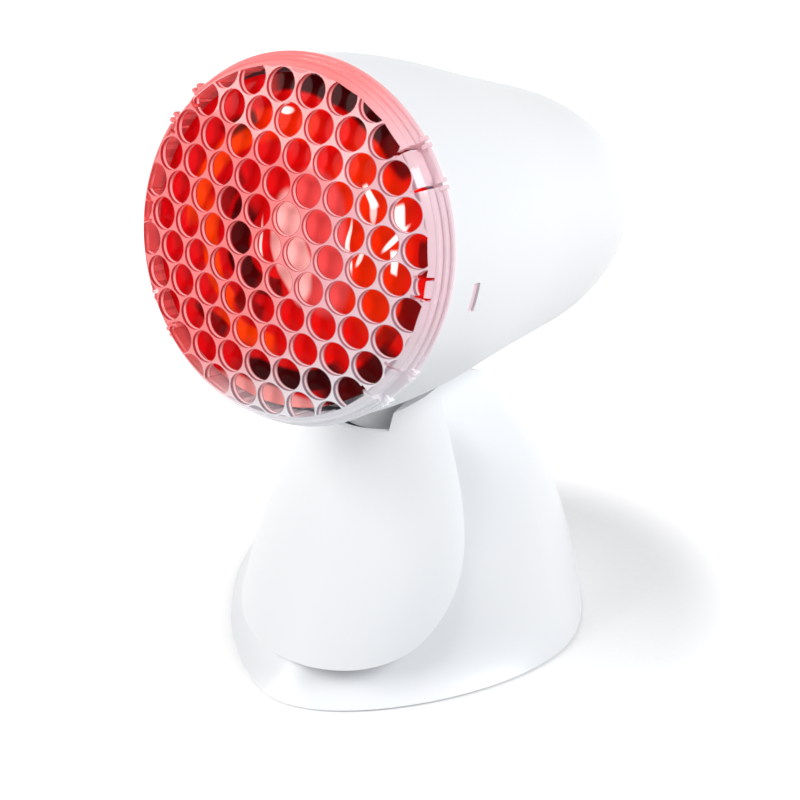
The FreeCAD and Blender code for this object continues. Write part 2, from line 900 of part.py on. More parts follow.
def make_bracket():
    foot_z = -d.arm_plate_below_axis
    back = HOLDER_BACK + d.bracket_sheet
    toe = BOSS_BACK - BOSS_REACH
    profile = pressed("bracket_sheet_metal", "YZ_Plane", [
        (HOLDER_BACK, foot_z + d.bracket_sheet), (HOLDER_BACK, d.bracket_top),
        (back, d.bracket_top), (back, foot_z), (toe, foot_z), (toe, foot_z + d.bracket_sheet),
    ], 2 * d.bracket_half)
    holes = [
        rod(f"bracket_hole_{index}", (x, HOLDER_BACK - 1, z), d.small_screw + 0.1, 5, "Y")
        for index, (x, _, z) in enumerate(HOLDER_SCREWS)
    ]
    for index, (x, y) in enumerate(BOSS_SPOTS[2:]):
        hole = rod(f"bracket_foot_hole_{index}", (x, y, foot_z - 1), d.small_screw + 0.1, 5, "Z")
        holes.append(hole)
    node(cut("holder_bracket", profile, *holes), "holder_bracket", HEAD)

    pattern = screw("holder_screw_pattern", d.small_screw, d.small_head, d.small_head_height,
                    d.bracket_sheet + d.thread_depth - 1)
    spots = [(x, y + d.bracket_sheet, z) for x, y, z in HOLDER_SCREWS]
    node(copies("holder_screws", pattern, spots, "Y"), "holder_screws", HEAD)


def make_shield():
    """Sheet-metal cone between the hot bowl and the plastic shell, clipped in by its flange."""
    front = d.shield_front
    sheet = d.shield_sheet
    flange = d.belly_radius - d.shell_wall - d.slide_gap
    mouth = Size(bowl_radius(float(front), 0.0), str(bowl_radius(float(front), 0.0))) + d.shield_air
    shield = turned("heat_shield", [
        (mouth, front), (flange - 0.3, front), (flange - 0.3, front + sheet),
        (mouth, front + sheet), (d.shield_throat, d.shield_end),
        (d.shield_throat - sheet, d.shield_end - sheet),
    ], "Y")
    node(shield, "heat_shield", HEAD)


# ---------------------------------------------------------------------------------------
# Tilt arm with its pivot
# ---------------------------------------------------------------------------------------


def make_arm():
    half = d.arm_half_width
    plate_top = -d.arm_plate_below_axis
    plate = block("arm_plate_block", (-half, BOSS_FRONT - BOSS_REACH, plate_top - d.arm_plate),
                  (half, BOSS_BACK + BOSS_REACH, plate_top))
    foot = PIVOT_Z - d.arm_drop
    height = plate_top - foot
    column = block("arm_column", (-half, PIVOT_AT - d.arm_nose + half, foot),
                   (half, PIVOT_AT + d.arm_back, plate_top))
    nose = rod("arm_nose_round", (0, PIVOT_AT - d.arm_nose + half, foot), half, height, "Z")
    drum = rod("arm_drum", (-half, PIVOT_AT, PIVOT_Z), d.drum_radius, 2 * half, "X")
    sector = rod("arm_sector", (d.sector_inner, PIVOT_AT, PIVOT_Z), d.sector_radius,
                 d.sector_outer - d.sector_inner, "X")
    body = fused("arm_body", [plate, column, nose, drum, sector])

    reach = d.sector_radius + 0.35 * d.notch_radius
    tools = []
    for step in range(-2, 3):
        angle = math.radians(float(step * d.tilt_step + d.tilt_at_rest))
        y = PIVOT_AT + reach * math.sin(angle)
        z = PIVOT_Z - reach * math.cos(angle)
        tools.append(rod(f"arm_notch_{step + 3}", (d.sector_inner - 1, y, z), d.notch_radius,
                         d.sector_outer - d.sector_inner + 2, "X"))
    clear = d.slide_gap
    above = block("arm_sector_trim_back", (d.sector_inner - 1, PIVOT_AT + d.arm_back, PIVOT_Z),
                  (d.sector_outer + 1, PIVOT_AT + d.sector_radius + 2, PIVOT_Z + 30))
    pin_bore = rod("arm_pin_bore", (-half - 1, PIVOT_AT, PIVOT_Z), d.pin_radius + d.pin_gap,
                   2 * half + 2, "X")
    lead_bore = rod("arm_lead_bore", (0, PIVOT_AT, PIVOT_Z), d.lead_bore,
                    plate_top - PIVOT_Z + 1, "Z")
    lead_slot = block("arm_lead_slot", (-d.lead_bore, PIVOT_AT - d.drum_radius + 2, foot - 10),
                      (d.lead_bore, PIVOT_AT + d.drum_radius + 1, PIVOT_Z + clear))
    holes = [
        rod(f"arm_plate_hole_{index}", (x, y, plate_top - d.arm_plate - 1),
            d.small_screw + 0.1, d.arm_plate + 2, "Z")
        for index, (x, y) in enumerate(BOSS_SPOTS)
    ]
    arm = cut("tilt_arm", body, pin_bore, lead_bore, lead_slot, above, *tools, *holes)
    node(arm, "tilt_arm", HEAD)

    length = d.arm_plate + d.thread_depth - 2
    pattern = screw("arm_screw_pattern", d.small_screw, d.small_head, d.small_head_height, length)
    spots = [(x, y, plate_top) for x, y in BOSS_SPOTS[:2]]
    spots += [(x, y, plate_top + d.bracket_sheet) for x, y in BOSS_SPOTS[2:]]
    node(copies("arm_screws", pattern, spots), "arm_screws", HEAD)


FRAME_INNER = d.arm_half_width + d.washer_thickness + 2 * d.pin_gap
FRAME_OUTER = FRAME_INNER + d.frame_sheet


def make_pivot():
    """Two headed pins and two washers on the tilt axis, one of each on either side."""
    pin_inner = d.arm_half_width - d.pin_depth
    pattern = turned("pivot_pin_pattern", [
        (0, pin_inner), (d.pin_radius, pin_inner), (d.pin_radius, FRAME_OUTER),
        (d.pin_head_radius, FRAME_OUTER), (d.pin_head_radius, FRAME_OUTER + 1.4),
        (d.pin_head_radius - 1.2, FRAME_OUTER + d.pin_head), (0, FRAME_OUTER + d.pin_head),
    ], "Z")
    washer = turned("hinge_washer_pattern", [
        (d.pin_radius + d.pin_gap, d.arm_half_width + d.pin_gap),
        (d.frame_top_radius - 2, d.arm_half_width + d.pin_gap),
        (d.frame_top_radius - 2, d.arm_half_width + d.pin_gap + d.washer_thickness),
        (d.pin_radius + d.pin_gap, d.arm_half_width + d.pin_gap + d.washer_thickness),
    ], "Z")
    doc.recompute()
    pivot = V(0, float(d.pivot_back), float(d.pivot_height))
    for label, source in (("pivot_pins", pattern), ("hinge_washers", washer)):
        shapes = []
        for angle in (90, -90):
            shape = source.Shape.copy()
            shape.Placement = FreeCAD.Placement(pivot, FreeCAD.Rotation(V(0, 1, 0), angle))
            shapes.append(shape)
        node(held(label, Part.makeCompound(shapes)), label)


# ---------------------------------------------------------------------------------------
# Pedestal shells
# ---------------------------------------------------------------------------------------


def section_values(prefix, level):
    return {field: float(getattr(d, f"{prefix}_{level}_{field}")) for field in SECTION_FIELDS}


def carried_down(prefix, table, drop):
    """The lowest section carried on downwards, on the slope of the two lowest ones."""
    low, high = (section_values(prefix, level) for level in list(table)[:2])
    share = drop / (high["height"] - low["height"])
    return {field: low[field] - share * (high[field] - low[field]) for field in SECTION_FIELDS}


def section_wire(value, inset):
    """One horizontal section of the pedestal: four tangent quarters of a rounded egg."""
    z = value["height"]
    half = value["half_width"] - inset
    front = value["front"] + inset
    back = value["back"] - inset
    widest = value["widest"]
    quarters = []
    for side, end in ((1, front), (1, back), (-1, back), (-1, front)):
        grip = value["front_fullness"] if end == front else value["rear_fullness"]
        tip = V(0, end, z)
        flank = V(side * half, widest, z)
        poles = [
            tip,
            tip + V(side * half * grip, 0, 0),
            flank + V(0, (end - widest) * grip, 0),
            flank,
        ]
        if (side > 0) == (end == back):
            poles.reverse()
        quarters.append(poles)
    edges = []
    for poles in quarters:
        curve = Part.BezierCurve()
        curve.setPoles(poles)
        edges.append(curve.toShape())
    return Part.Wire(edges)


def pedestal_solid(prefix, table, inset):
    """Solid through a table's sections, each drawn in by an inset; inner ones run below."""
    sections = [section_values(prefix, level) for level in table]
    if inset > 0:
        sections.insert(0, carried_down(prefix, table, 2 * inset))
    wires = [section_wire(section, inset) for section in sections]
    return Part.makeLoft(wires, True, False)


def head_sweep(extra):
    """Room for the underside of the head at every tilt: tapered rods about the pivot."""
    gap = float(d.head_gap) + extra
    start = 25.0
    end = 190.0
    slope = (float(d.waist_radius) - float(d.shoulder_radius)) / (
        float(d.shoulder_at) - float(d.waist_at))
    first = float(d.waist_radius) + (float(d.waist_at) - start) * slope + gap
    last = float(d.waist_radius) + (float(d.waist_at) - end) * slope + gap
    sweep = []
    for step in range(-2, 3):
        tilt = float(d.tilt_at_rest) + step * float(d.tilt_step)
        cone = Part.makeCone(first, last, end - start, V(0, start, 0), V(0, 1, 0))
        cone.Placement = head_frame(tilt) * cone.Placement
        sweep.append(cone)
    return sweep


def joint_region(gap):
    """The space in front of the joint line, drawn from the side and run across the lamp."""
    points = []
    for name in JOINT_LINE:
        height = float(getattr(d, f"joint_{name}_height"))
        back = float(getattr(d, f"joint_{name}_back"))
        points.append(V(-150, back + gap, height - gap))
    line = Part.BSplineCurve()
    line.interpolate(points)
    start, end = points[0], points[-1]
    far = -160.0
    corners = [end, V(-150, far, end.z), V(-150, far, start.z), start]
    edges = [line.toShape()]
    edges += [Part.LineSegment(a, b).toShape() for a, b in zip(corners, corners[1:])]
    return Part.Face(Part.Wire(edges)).extrude(V(300, 0, 0))


def shell_pair(prefix, table, wall):
    """Outer and inner solid of a pedestal shell, both cleared under the head."""
    outer = pedestal_solid(prefix, table, 0.0).cut(head_sweep(0.0))
    inner = pedestal_solid(prefix, table, wall).cut(head_sweep(wall))
    return outer, inner


PLATE_TOP = d.plate_bottom + d.plate_thickness
POST_SPOTS = [(side * d.post_x, y) for y in (d.post_front, d.post_back) for side in (-1, 1)]
COVER_SCREW_HEIGHTS = (d.cover_post_low, d.cover_post_high)


def make_back_shell():
    wall = float(d.base_wall)
    outer, inner = shell_pair("back", BACK_SECTIONS, wall)
    front = joint_region(0.0)
    shell = held("back_shell_wall", outer.cut(inner).cut(front))
    room = held("back_shell_room", outer.cut(front))
    posts = [
        rod(f"back_post_{index}", (x, y, PLATE_TOP), d.post_radius, d.post_height, "Z")
        for index, (x, y) in enumerate(POST_SPOTS)
    ]
    boss_front = Size(inner_back_at_inlet(), repr(inner_back_at_inlet())) - 6
    boss_length = d.back_skirt_back + d.inlet_boss_stand - boss_front
    boss = rod("inlet_boss", (0, boss_front, d.inlet_height), d.inlet_boss_radius,
               boss_length, "Y")
    post_part = common("back_posts", fused("back_posts_full", posts), room)
    body = fused("back_shell_body", [shell, post_part, boss])
    pilots = [
        rod(f"back_pilot_{index}", (x, y, PLATE_TOP - 1), SMALL_PILOT, d.thread_depth + 1, "Z")
        for index, (x, y) in enumerate(POST_SPOTS)
    ]
    inlet = rod("inlet_hole", (0, boss_front - 5, d.inlet_height), d.bush_radius + d.seat_gap,
                boss_length + 10, "Y")
    opening = arm_opening("back_arm_opening")
    return node(cut("base_back_shell", body, inlet, opening, *pilots), "base_back_shell")


def inner_back_at_inlet():
    """How far back the inner wall is near the cord inlet."""
    return float(d.back_skirt_back) - float(d.base_wall)


def arm_opening(name):
    """The recess for the arm: a notch in front, and a deeper slot in the roof behind it."""
    half = d.notch_half_width
    top = d.back_crown_height + 5
    notch = block(f"{name}_front", (-half, d.cover_skirt_front - 10, d.notch_floor),
                  (half, d.notch_back, top))
    slot = block(f"{name}_back", (-half, d.frame_front - 5, d.pivot_height),
                 (half, d.notch_back, top))
    return fused(name, [notch, slot])


def make_cover():
    wall = float(d.base_wall)
    outer, inner = shell_pair("cover", COVER_SECTIONS, wall)
    front = joint_region(-float(d.part_gap))
    shell = held("cover_wall", outer.cut(inner).common(front))
    room = held("cover_room", outer.common(front))
    posts = [
        rod(f"cover_post_{index}", (0, d.cover_skirt_front, z), d.cover_post_radius,
            d.frame_front - d.frame_sheet - d.cover_skirt_front, "Y")
        for index, z in enumerate(COVER_SCREW_HEIGHTS)
    ]
    bosses = common("cover_posts", fused("cover_posts_full", posts), room)
    pilots = [
        rod(f"cover_pilot_{index}", (0, d.frame_front - d.frame_sheet - d.thread_depth, z),
            SMALL_PILOT, d.thread_depth + 1, "Y")
        for index, z in enumerate(COVER_SCREW_HEIGHTS)
    ]
    body = fused("cover_body", [shell, bosses])
    opening = arm_opening("cover_arm_opening")
    return node(cut("base_front_cover", body, opening, *pilots), "base_front_cover")


# ---------------------------------------------------------------------------------------
# Inside the pedestal
# ---------------------------------------------------------------------------------------


def frame_screw_spots():
    inner = FRAME_INNER - 7
    back = d.frame_back - 4
    front = d.frame_front + 6
    return [(side * inner, y) for y in (front, back) for side in (-1, 1)]


def make_frame():
    """Steel stand frame: two uprights, a cross plate in front and a foot plate."""
    floor = PLATE_TOP
    sheet = d.frame_sheet
    front = d.frame_front - sheet
    uprights = []
    for index, (low, high) in enumerate(((-FRAME_OUTER, -FRAME_INNER), (FRAME_INNER, FRAME_OUTER))):
        uprights.append(block(f"frame_upright_{index}", (low, front, floor),
                              (high, d.frame_back, d.pivot_height)))
        uprights.append(rod(f"frame_round_{index}", (low, d.pivot_back, d.pivot_height),
                            d.frame_top_radius, sheet, "X"))
    cross = block("frame_cross", (-FRAME_OUTER, front, floor),
                  (FRAME_OUTER, d.frame_front, d.cross_plate_top))
    foot = block("frame_foot", (-FRAME_OUTER, front, floor),
                 (FRAME_OUTER, d.frame_back, floor + sheet))
    body = fused("frame_body", uprights + [cross, foot])
    pin_holes = rod("frame_pin_holes", (-FRAME_OUTER - 1, d.pivot_back, d.pivot_height),
                    d.pin_radius + d.pin_gap, 2 * FRAME_OUTER + 2, "X")
    holes = [
        rod(f"frame_cover_hole_{index}", (0, front - 1, z), d.small_screw + 0.1, sheet + 2, "Y")
        for index, z in enumerate(COVER_SCREW_HEIGHTS)
    ]
    for index, (x, y) in enumerate(frame_screw_spots()):
        holes.append(rod(f"frame_foot_hole_{index}", (x, y, floor - 1),
                         d.frame_screw + d.pin_gap, sheet + 2, "Z"))
    rear_trims = []
    for index, (low, high) in enumerate(((-FRAME_OUTER, -FRAME_INNER), (FRAME_INNER, FRAME_OUTER))):
        corner = d.pivot_back - d.frame_top_radius
        rear_trims.append(block(f"frame_trim_{index}", (low - 1, front - 1, d.pivot_height - 22),
                                (high + 1, corner, d.pivot_height + 20)))
    frame = cut("stand_frame", body, pin_holes, *holes, *rear_trims)
    return node(frame, "stand_frame")


def make_leaf():
    """Detent leaf: a bent spring strip on the cross plate, its bead in a notch of the arm."""
    low = d.sector_inner + (d.sector_outer - d.sector_inner - d.leaf_width) / 2
    centre = low + d.leaf_width / 2
    thickness = d.leaf_thickness
    sheet_face = d.frame_front
    underside = d.pivot_height - d.sector_radius - d.slide_gap - thickness
    profile = pressed("leaf_strip", "YZ_Plane", [
        (sheet_face, underside - d.leaf_leg), (sheet_face, underside + thickness),
        (d.leaf_back, underside + thickness), (d.leaf_back, underside),
        (sheet_face + thickness, underside), (sheet_face + thickness, underside - d.leaf_leg),
    ], d.leaf_width)
    bead_radius = d.notch_radius - 0.25
    bead = rod("leaf_bead", (-d.leaf_width / 2, d.pivot_back, underside + thickness - 0.1),
               bead_radius, d.leaf_width, "X")
    strip = fused("leaf_body", [profile, bead])
    place = FreeCAD.Placement(V(float(centre), 0, 0), FreeCAD.Rotation())
    return node(strip, "detent_leaf", place)


def make_floor_parts():
    inset = float(d.base_wall + d.plate_inset)
    floor = section_values("back", "floor")
    floor["height"] = float(d.plate_bottom)
    bottom = section_wire(floor, inset)
    slab = Part.Face(bottom).extrude(V(0, 0, float(d.plate_thickness)))
    plate = held("base_plate_slab", slab)
    foot_spots = [(side * d.foot_x, y) for y in (d.foot_front, d.foot_back) for side in (-1, 1)]
    foot_spots.append((0, 0))
    recess = d.foot_height - d.plate_bottom
    tools = [
        rod(f"plate_foot_{index}", (x, y, 0), d.foot_radius + d.seat_gap, d.plate_bottom + recess,
            "Z")
        for index, (x, y) in enumerate(foot_spots)
    ]
    for index, (x, y) in enumerate(POST_SPOTS):
        tools.append(rod(f"plate_hole_{index}", (x, y, 0), d.small_screw + 0.1, 10, "Z"))
        tools.append(rod(f"plate_sink_{index}", (x, y, 0), d.small_head + 0.3,
                         d.plate_bottom + d.small_head_height - 0.6, "Z"))
    for index, (x, y) in enumerate(frame_screw_spots()):
        tools.append(rod(f"plate_frame_hole_{index}", (x, y, 0), d.frame_screw + 0.1, 10, "Z"))
        tools.append(rod(f"plate_frame_sink_{index}", (x, y, 0), d.frame_head + 0.3,
                         d.plate_bottom + d.small_head_height - 0.6, "Z"))
    node(cut("base_plate", plate, *tools), "base_plate")

    foot = turned("rubber_foot_pattern", [
        (0, 0), (d.foot_radius - 1, 0), (d.foot_radius, 1), (d.foot_radius, d.foot_height),
        (0, d.foot_height),
    ], "Z")
    node(copies("rubber_feet", foot, [(x, y, 0) for x, y in foot_spots]), "rubber_feet")

    head_top = d.plate_bottom + d.small_head_height - 0.6
    small = screw("base_screw_pattern", d.small_screw, d.small_head, d.small_head_height,
                  PLATE_TOP - head_top + d.thread_depth - 1)
    node(upward("base_screws", small, POST_SPOTS, head_top), "base_screws")
    large = screw("frame_screw_pattern", d.frame_screw, d.frame_head, d.small_head_height,
                  PLATE_TOP - head_top + d.frame_sheet)
    node(upward("frame_screws", large, frame_screw_spots(), head_top), "frame_screws")

    pattern = screw("cover_screw_pattern", d.small_screw, d.small_head, d.small_head_height,
                    d.frame_sheet + d.thread_depth - 1)
    spots = [(0, d.frame_front, z) for z in COVER_SCREW_HEIGHTS]
    node(copies("cover_screws", pattern, spots, "Y"), "cover_screws")


def upward(name, pattern, spots, height):
    """Screws put in from below, their heads down."""
    doc.recompute()
    shapes = []
    for x, y in spots:
        shape = pattern.Shape.copy()
        spot = V(float(x), float(y), float(height))
        shape.Placement = FreeCAD.Placement(spot, FreeCAD.Rotation(V(1, 0, 0), 180))
        shapes.append(shape)
    return held(name, Part.makeCompound(shapes))


def make_ballast():
    slab = block("ballast_slab", (-d.ballast_half_width, d.ballast_front, PLATE_TOP),
                 (d.ballast_half_width, d.ballast_back, PLATE_TOP + d.ballast_height))
    corner = doc.addObject("Part::Chamfer", "ballast_weight")
    corner.Base = slab
    doc.recompute()
    uprights = [
        index + 1 for index, edge in enumerate(slab.Shape.Edges)
        if abs(edge.tangentAt(edge.FirstParameter).z) > 0.99
    ]
    corner.Edges = [(index, 6.0, 6.0) for index in uprights]
    node(corner, "ballast_weight")


TERMINAL_FLOOR = PLATE_TOP + d.ballast_height
TERMINAL_BACK = d.terminal_front + d.terminal_depth


def make_terminals():
    half = d.terminal_half_width
    body = block("terminal_body", (-half, d.terminal_front, TERMINAL_FLOOR),
                 (half, TERMINAL_BACK, TERMINAL_FLOOR + d.terminal_height))
    middle = (d.terminal_front + TERMINAL_BACK) / 2
    spots = [(side * half / 2, y) for y in (middle - 3.5, middle + 3.5) for side in (-1, 1)]
    wells = [
        rod(f"terminal_well_{index}", (x, y, TERMINAL_FLOOR + 5), 2.2, 20, "Z")
        for index, (x, y) in enumerate(spots)
    ]
    entries = [
        rod(f"terminal_entry_{index}", (side * half / 2, d.terminal_front - 1, TERMINAL_FLOOR + 3),
            1.6, d.terminal_depth + 2, "Y")
        for index, side in enumerate((-1, 1))
    ]
    node(cut("terminal_block", body, *wells, *entries), "terminal_block")
    pattern = screw("terminal_screw_pattern", 1.2, 1.9, 1.6, 2.6)
    heights = TERMINAL_FLOOR + 5 + 2.6
    screws = copies("terminal_screws", pattern, [(x, y, heights) for x, y in spots])
    node(screws, "terminal_screws")


def make_bush():
    """Rubber bush that lines the hole where the mains lead enters."""
    outside = d.back_skirt_back + d.inlet_boss_stand
    bush = turned("cord_bush_body", [
        (d.bush_bore, outside + d.bush_flange), (d.bush_bore, outside - d.bush_length),
        (d.bush_radius, outside - d.bush_length), (d.bush_radius, outside),
        (d.bush_flange_radius, outside), (d.bush_flange_radius, outside + d.bush_flange - 0.8),
        (d.bush_flange_radius - 0.8, outside + d.bush_flange),
    ], "Y")
    place = FreeCAD.Placement(V(0, 0, float(d.inlet_height)), FreeCAD.Rotation())
    node(bush, "cord_bush", place)


def wire_route(name, points, radius, bend):
    """An insulated lead along straight runs that are joined by tangent arcs."""
    spots = [V(*(float(value) for value in point)) for point in points]
    edges = []
    start = spots[0]
    for before, corner, after in zip(spots, spots[1:], spots[2:]):
        into = (corner - before).normalize()
        out = (after - corner).normalize()
        half_turn = into.getAngle(out) / 2
        reach = bend * math.tan(half_turn)
        arc_start = corner - into * reach
        arc_end = corner + out * reach
        inward = (out - into).normalize()
        centre = corner + inward * (bend / math.cos(half_turn))
        middle = centre - inward * bend
        edges.append(Part.LineSegment(start, arc_start).toShape())
        edges.append(Part.Arc(arc_start, middle, arc_end).toShape())
        start = arc_end
    edges.append(Part.LineSegment(start, spots[-1]).toShape())
    path = Part.Wire(edges)
    direction = (spots[1] - spots[0]).normalize()
    circle = Part.Wire([Part.Circle(spots[0], direction, radius).toShape()])
    return held(name, path.makePipeShell([circle], True, False))


def make_leads():
    """Two-core lead: from the terminals to the tilt axis, and on from there to the holder."""
    radius = float(d.lead_radius)
    base = [
        (d.terminal_half_width / 2, d.terminal_front, TERMINAL_FLOOR + 3),
        (d.terminal_half_width / 2, d.pivot_back + 12, TERMINAL_FLOOR + 3),
        (0, d.pivot_back, TERMINAL_FLOOR + 22),
        (0, d.pivot_back, d.pivot_height - d.lead_gap),
    ]
    node(wire_route("base_lead", base, 1.5, 7.0), "base_lead")
    plate_top = -d.arm_plate_below_axis
    head = [
        (0, PIVOT_AT, PIVOT_Z + d.lead_gap),
        (0, PIVOT_AT, plate_top + 9),
        (0, HOLDER_BACK - 8, plate_top + 12),
        (0, HOLDER_BACK - 8, -d.holder_radius),
    ]
    node(wire_route("head_lead", head, radius, 8.0), "head_lead", HEAD)


# ---------------------------------------------------------------------------------------
# The lamp
# ---------------------------------------------------------------------------------------


def make_lamp():
    make_head_shell()
    make_guard()
    make_bulb()
    make_holder()
    make_bracket()
    make_shield()
    make_arm()
    make_pivot()
    make_back_shell()
    make_cover()
    make_frame()
    make_leaf()
    make_floor_parts()
    make_ballast()
    make_terminals()
    make_bush()
    make_leads()
    doc.recompute()


def check_document():
    for piece in doc.Objects:
        if "Invalid" in piece.State or "Error" in piece.State:
            raise RuntimeError(f"{piece.Label} failed: {piece.State}")
    for piece in NODES:
        if piece.Shape.isNull() or not piece.Shape.isValid():
            raise RuntimeError(f"{piece.Label} has no valid shape")


def write_parts():
    os.makedirs("parts", exist_ok=True)
    for piece in NODES:
        solids = len(piece.Shape.Solids)
        print(f"{piece.Label}: {solids} solid(s), {piece.Shape.Volume / 1000:.2f} cm3")
        piece.Shape.exportStep(os.path.join("parts", f"{piece.Label}.step"))


make_lamp()
check_document()
write_parts()
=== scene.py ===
"""Table-top infrared heat lamp: its finishes, its glowing bulb and the studio it stands in."""

import json
import logging
import math
from dataclasses import dataclass, field
from enum import Enum
from functools import cached_property

import bpy
from mathutils import Euler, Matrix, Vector


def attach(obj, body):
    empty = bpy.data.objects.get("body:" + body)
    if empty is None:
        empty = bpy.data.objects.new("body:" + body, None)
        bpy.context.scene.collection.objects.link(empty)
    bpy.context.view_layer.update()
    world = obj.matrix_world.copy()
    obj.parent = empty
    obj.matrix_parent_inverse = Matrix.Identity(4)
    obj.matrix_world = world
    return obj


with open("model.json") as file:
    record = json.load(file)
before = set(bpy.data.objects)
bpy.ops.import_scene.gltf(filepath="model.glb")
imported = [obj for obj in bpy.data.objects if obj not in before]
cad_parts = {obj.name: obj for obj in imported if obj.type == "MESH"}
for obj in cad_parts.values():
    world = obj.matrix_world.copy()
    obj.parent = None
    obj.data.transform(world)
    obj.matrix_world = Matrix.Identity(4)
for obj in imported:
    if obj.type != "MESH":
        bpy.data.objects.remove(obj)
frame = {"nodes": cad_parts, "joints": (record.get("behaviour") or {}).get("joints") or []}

LOG = logging.getLogger("heat_lamp")
MM = 0.001
HEAD_TILT = next(joint for joint in frame["joints"] if joint["name"] == "head_tilt")

Point = tuple[float, float, float]
Colour = tuple[float, float, float]
Fade = tuple[float, float]
Socket = bpy.types.NodeSocket
Value = Socket | float

FULL_WHITE: Colour = (1.0, 1.0, 1.0)


def srgb(red: float, green: float, blue: float) -> Colour:
    """Turns a screen colour of 0 to 255 into a linear one.

    Args:
        red: Red, 0 to 255.
        green: Green, 0 to 255.
        blue: Blue, 0 to 255.

    Returns:
        The linear colour.
    """
    def linear(value: float) -> float:
        """One channel, from screen value to linear, by the standard curve."""
        share = value / 255
        return share / 12.92 if share <= 0.04045 else ((share + 0.055) / 1.055) ** 2.4

    return linear(red), linear(green), linear(blue)


# -------------------------------------------------------------------------------------------
# Shader building
# -------------------------------------------------------------------------------------------


class Owner(Enum):
    """What a node tree colours, by the type of its output node."""

    SURFACE = "ShaderNodeOutputMaterial"
    SURROUND = "ShaderNodeOutputWorld"


class Shader:
    """A node tree, with short calls for the nodes that the finishes and the studio share."""

    def __init__(self, name: str, owner: Owner = Owner.SURFACE) -> None:
        """Starts an empty material or surround.

        Args:
            name: Its name.
            owner: Which of the two it is.
        """
        blocks = bpy.data.materials if owner is Owner.SURFACE else bpy.data.worlds
        self.result = blocks.new(name)
        self.result.use_nodes = True
        self.tree = self.result.node_tree
        self.tree.nodes.clear()
        self.output = self.tree.nodes.new(owner.value)

    def node(self, kind: str, inputs: dict[str | int, object] | None = None,
             **settings: object) -> bpy.types.Node:
        """Adds a node, sets its options and feeds its inputs.

        Args:
            kind: The node's type without its ShaderNode prefix.
            inputs: What goes into its inputs, by their name or number.
            **settings: Attributes of the node.

        Returns:
            The new node.
        """
        made = self.tree.nodes.new("ShaderNode" + kind)
        for key, value in settings.items():
            setattr(made, key, value)
        for key, source in (inputs or {}).items():
            self.feed(made.inputs[key], source)
        return made

    def feed(self, socket: Socket, source: object) -> None:
        """Links a socket to another, or sets its value.

        Args:
            socket: The input socket.
            source: A socket to link, or a plain value.
        """
        if isinstance(source, Socket):
            self.tree.links.new(source, socket)
        elif isinstance(source, tuple) and socket.type == "RGBA":
            socket.default_value = (*source, 1.0)
        else:
            socket.default_value = source

    def place(self) -> Socket:
        """The surface's place in the row frame at rest, in metres."""
        return self.node("TexCoord").outputs["Object"]

    def seen(self) -> Socket:
        """1 for what the camera sees straight, in a gloss or through something clear, else 0."""
        rays = self.node("LightPath").outputs
        indirect = self.plus(rays["Is Glossy Ray"], rays["Is Transmission Ray"], clamp=True)
        return self.plus(rays["Is Camera Ray"], indirect, clamp=True)

    def maths(self, operation: str, *values: Value, clamp: bool = False) -> Socket:
        """A maths node.

        Args:
            operation: Blender's name of the operation.
            *values: Sockets or numbers.
            clamp: Whether the result stays between 0 and 1.

        Returns:
            The result.
        """
        inputs = dict(enumerate(values))
        return self.node("Math", inputs, operation=operation, use_clamp=clamp).outputs[0]

    def plus(self, first: Value, second: Value, clamp: bool = False) -> Socket:
        """The sum of two values, kept between 0 and 1 if asked."""
        return self.maths("ADD", first, second, clamp=clamp)

    def minus(self, first: Value, second: Value) -> Socket:
        """The first value less the second."""
        return self.maths("SUBTRACT", first, second)

    def times(self, first: Value, second: Value) -> Socket:
        """The product of two values."""
        return self.maths("MULTIPLY", first, second)

    def sloped(self, value: Value, slope: Value, start: Value) -> Socket:
        """A value times a slope, plus a start."""
        return self.maths("MULTIPLY_ADD", value, slope, start)

    def apart(self, first: Value, second: Value) -> Socket:
        """How far two values lie apart."""
        return self.maths("ABSOLUTE", self.minus(first, second))

    def length(self, first: Value, second: Value) -> Socket:
        """The length of a flat vector.

        Args:
            first: Its first coordinate.
            second: Its second coordinate.

        Returns:
            The length.
        """
        squares = self.plus(self.times(first, first), self.times(second, second))
        return self.maths("SQRT", squares)

    def swing(self, noise: Value, middle: float, width: float) -> Socket:
        """A value that swings about a middle one.

        Args:
            noise: What it swings with, 0 to 1.
            middle: The middle value.
            width: How far apart its two ends are.

        Returns:
            The value.
        """
        return self.sloped(noise, width, middle - width / 2)

    def between(self, value: Value, low: float, high: float) -> Socket:
        """A smooth step from 0 at one value to 1 at another.

        Args:
            value: The value to test.
            low: Where the step starts.
            high: Where it ends; it may be below low.

        Returns:
            The step.
        """
        inputs = {"Value": value, "From Min": low, "From Max": high}
        return self.node("MapRange", inputs, interpolation_type="SMOOTHSTEP").outputs["Result"]

    def noise(self, place: Socket, scale: float, detail: float) -> Socket:
        """Smooth noise.

        Args:
            place: Where the noise is read.
            scale: Its scale, in waves per metre.
            detail: How many finer layers it has.

        Returns:
            The noise, about 0.5.
        """
        inputs = {"Vector": place, "Scale": scale, "Detail": detail}
        return self.node("TexNoise", inputs).outputs["Fac"]

    def mix(self, share: Value, first: Socket | Colour, second: Socket | Colour) -> Socket:
        """Mixes two colours.

        Args:
            share: How much of the second colour shows.
            first: The first colour.
            second: The second colour.

        Returns:
            The mixed colour.
        """
        # The colour sockets of a Mix node come after those for numbers and vectors.
        return self.node("Mix", {0: share, 6: first, 7: second}, data_type="RGBA").outputs[2]

    def bump(self, height: Value, depth: float, strength: float) -> Socket:
        """A bumped normal.

        Args:
            height: The height, 0 to 1.
            depth: How deep a height of 1 is, in metres.
            strength: How much of it shows.

        Returns:
            The normal.
        """
        inputs = {"Height": height, "Distance": depth, "Strength": strength}
        return self.node("Bump", inputs).outputs["Normal"]

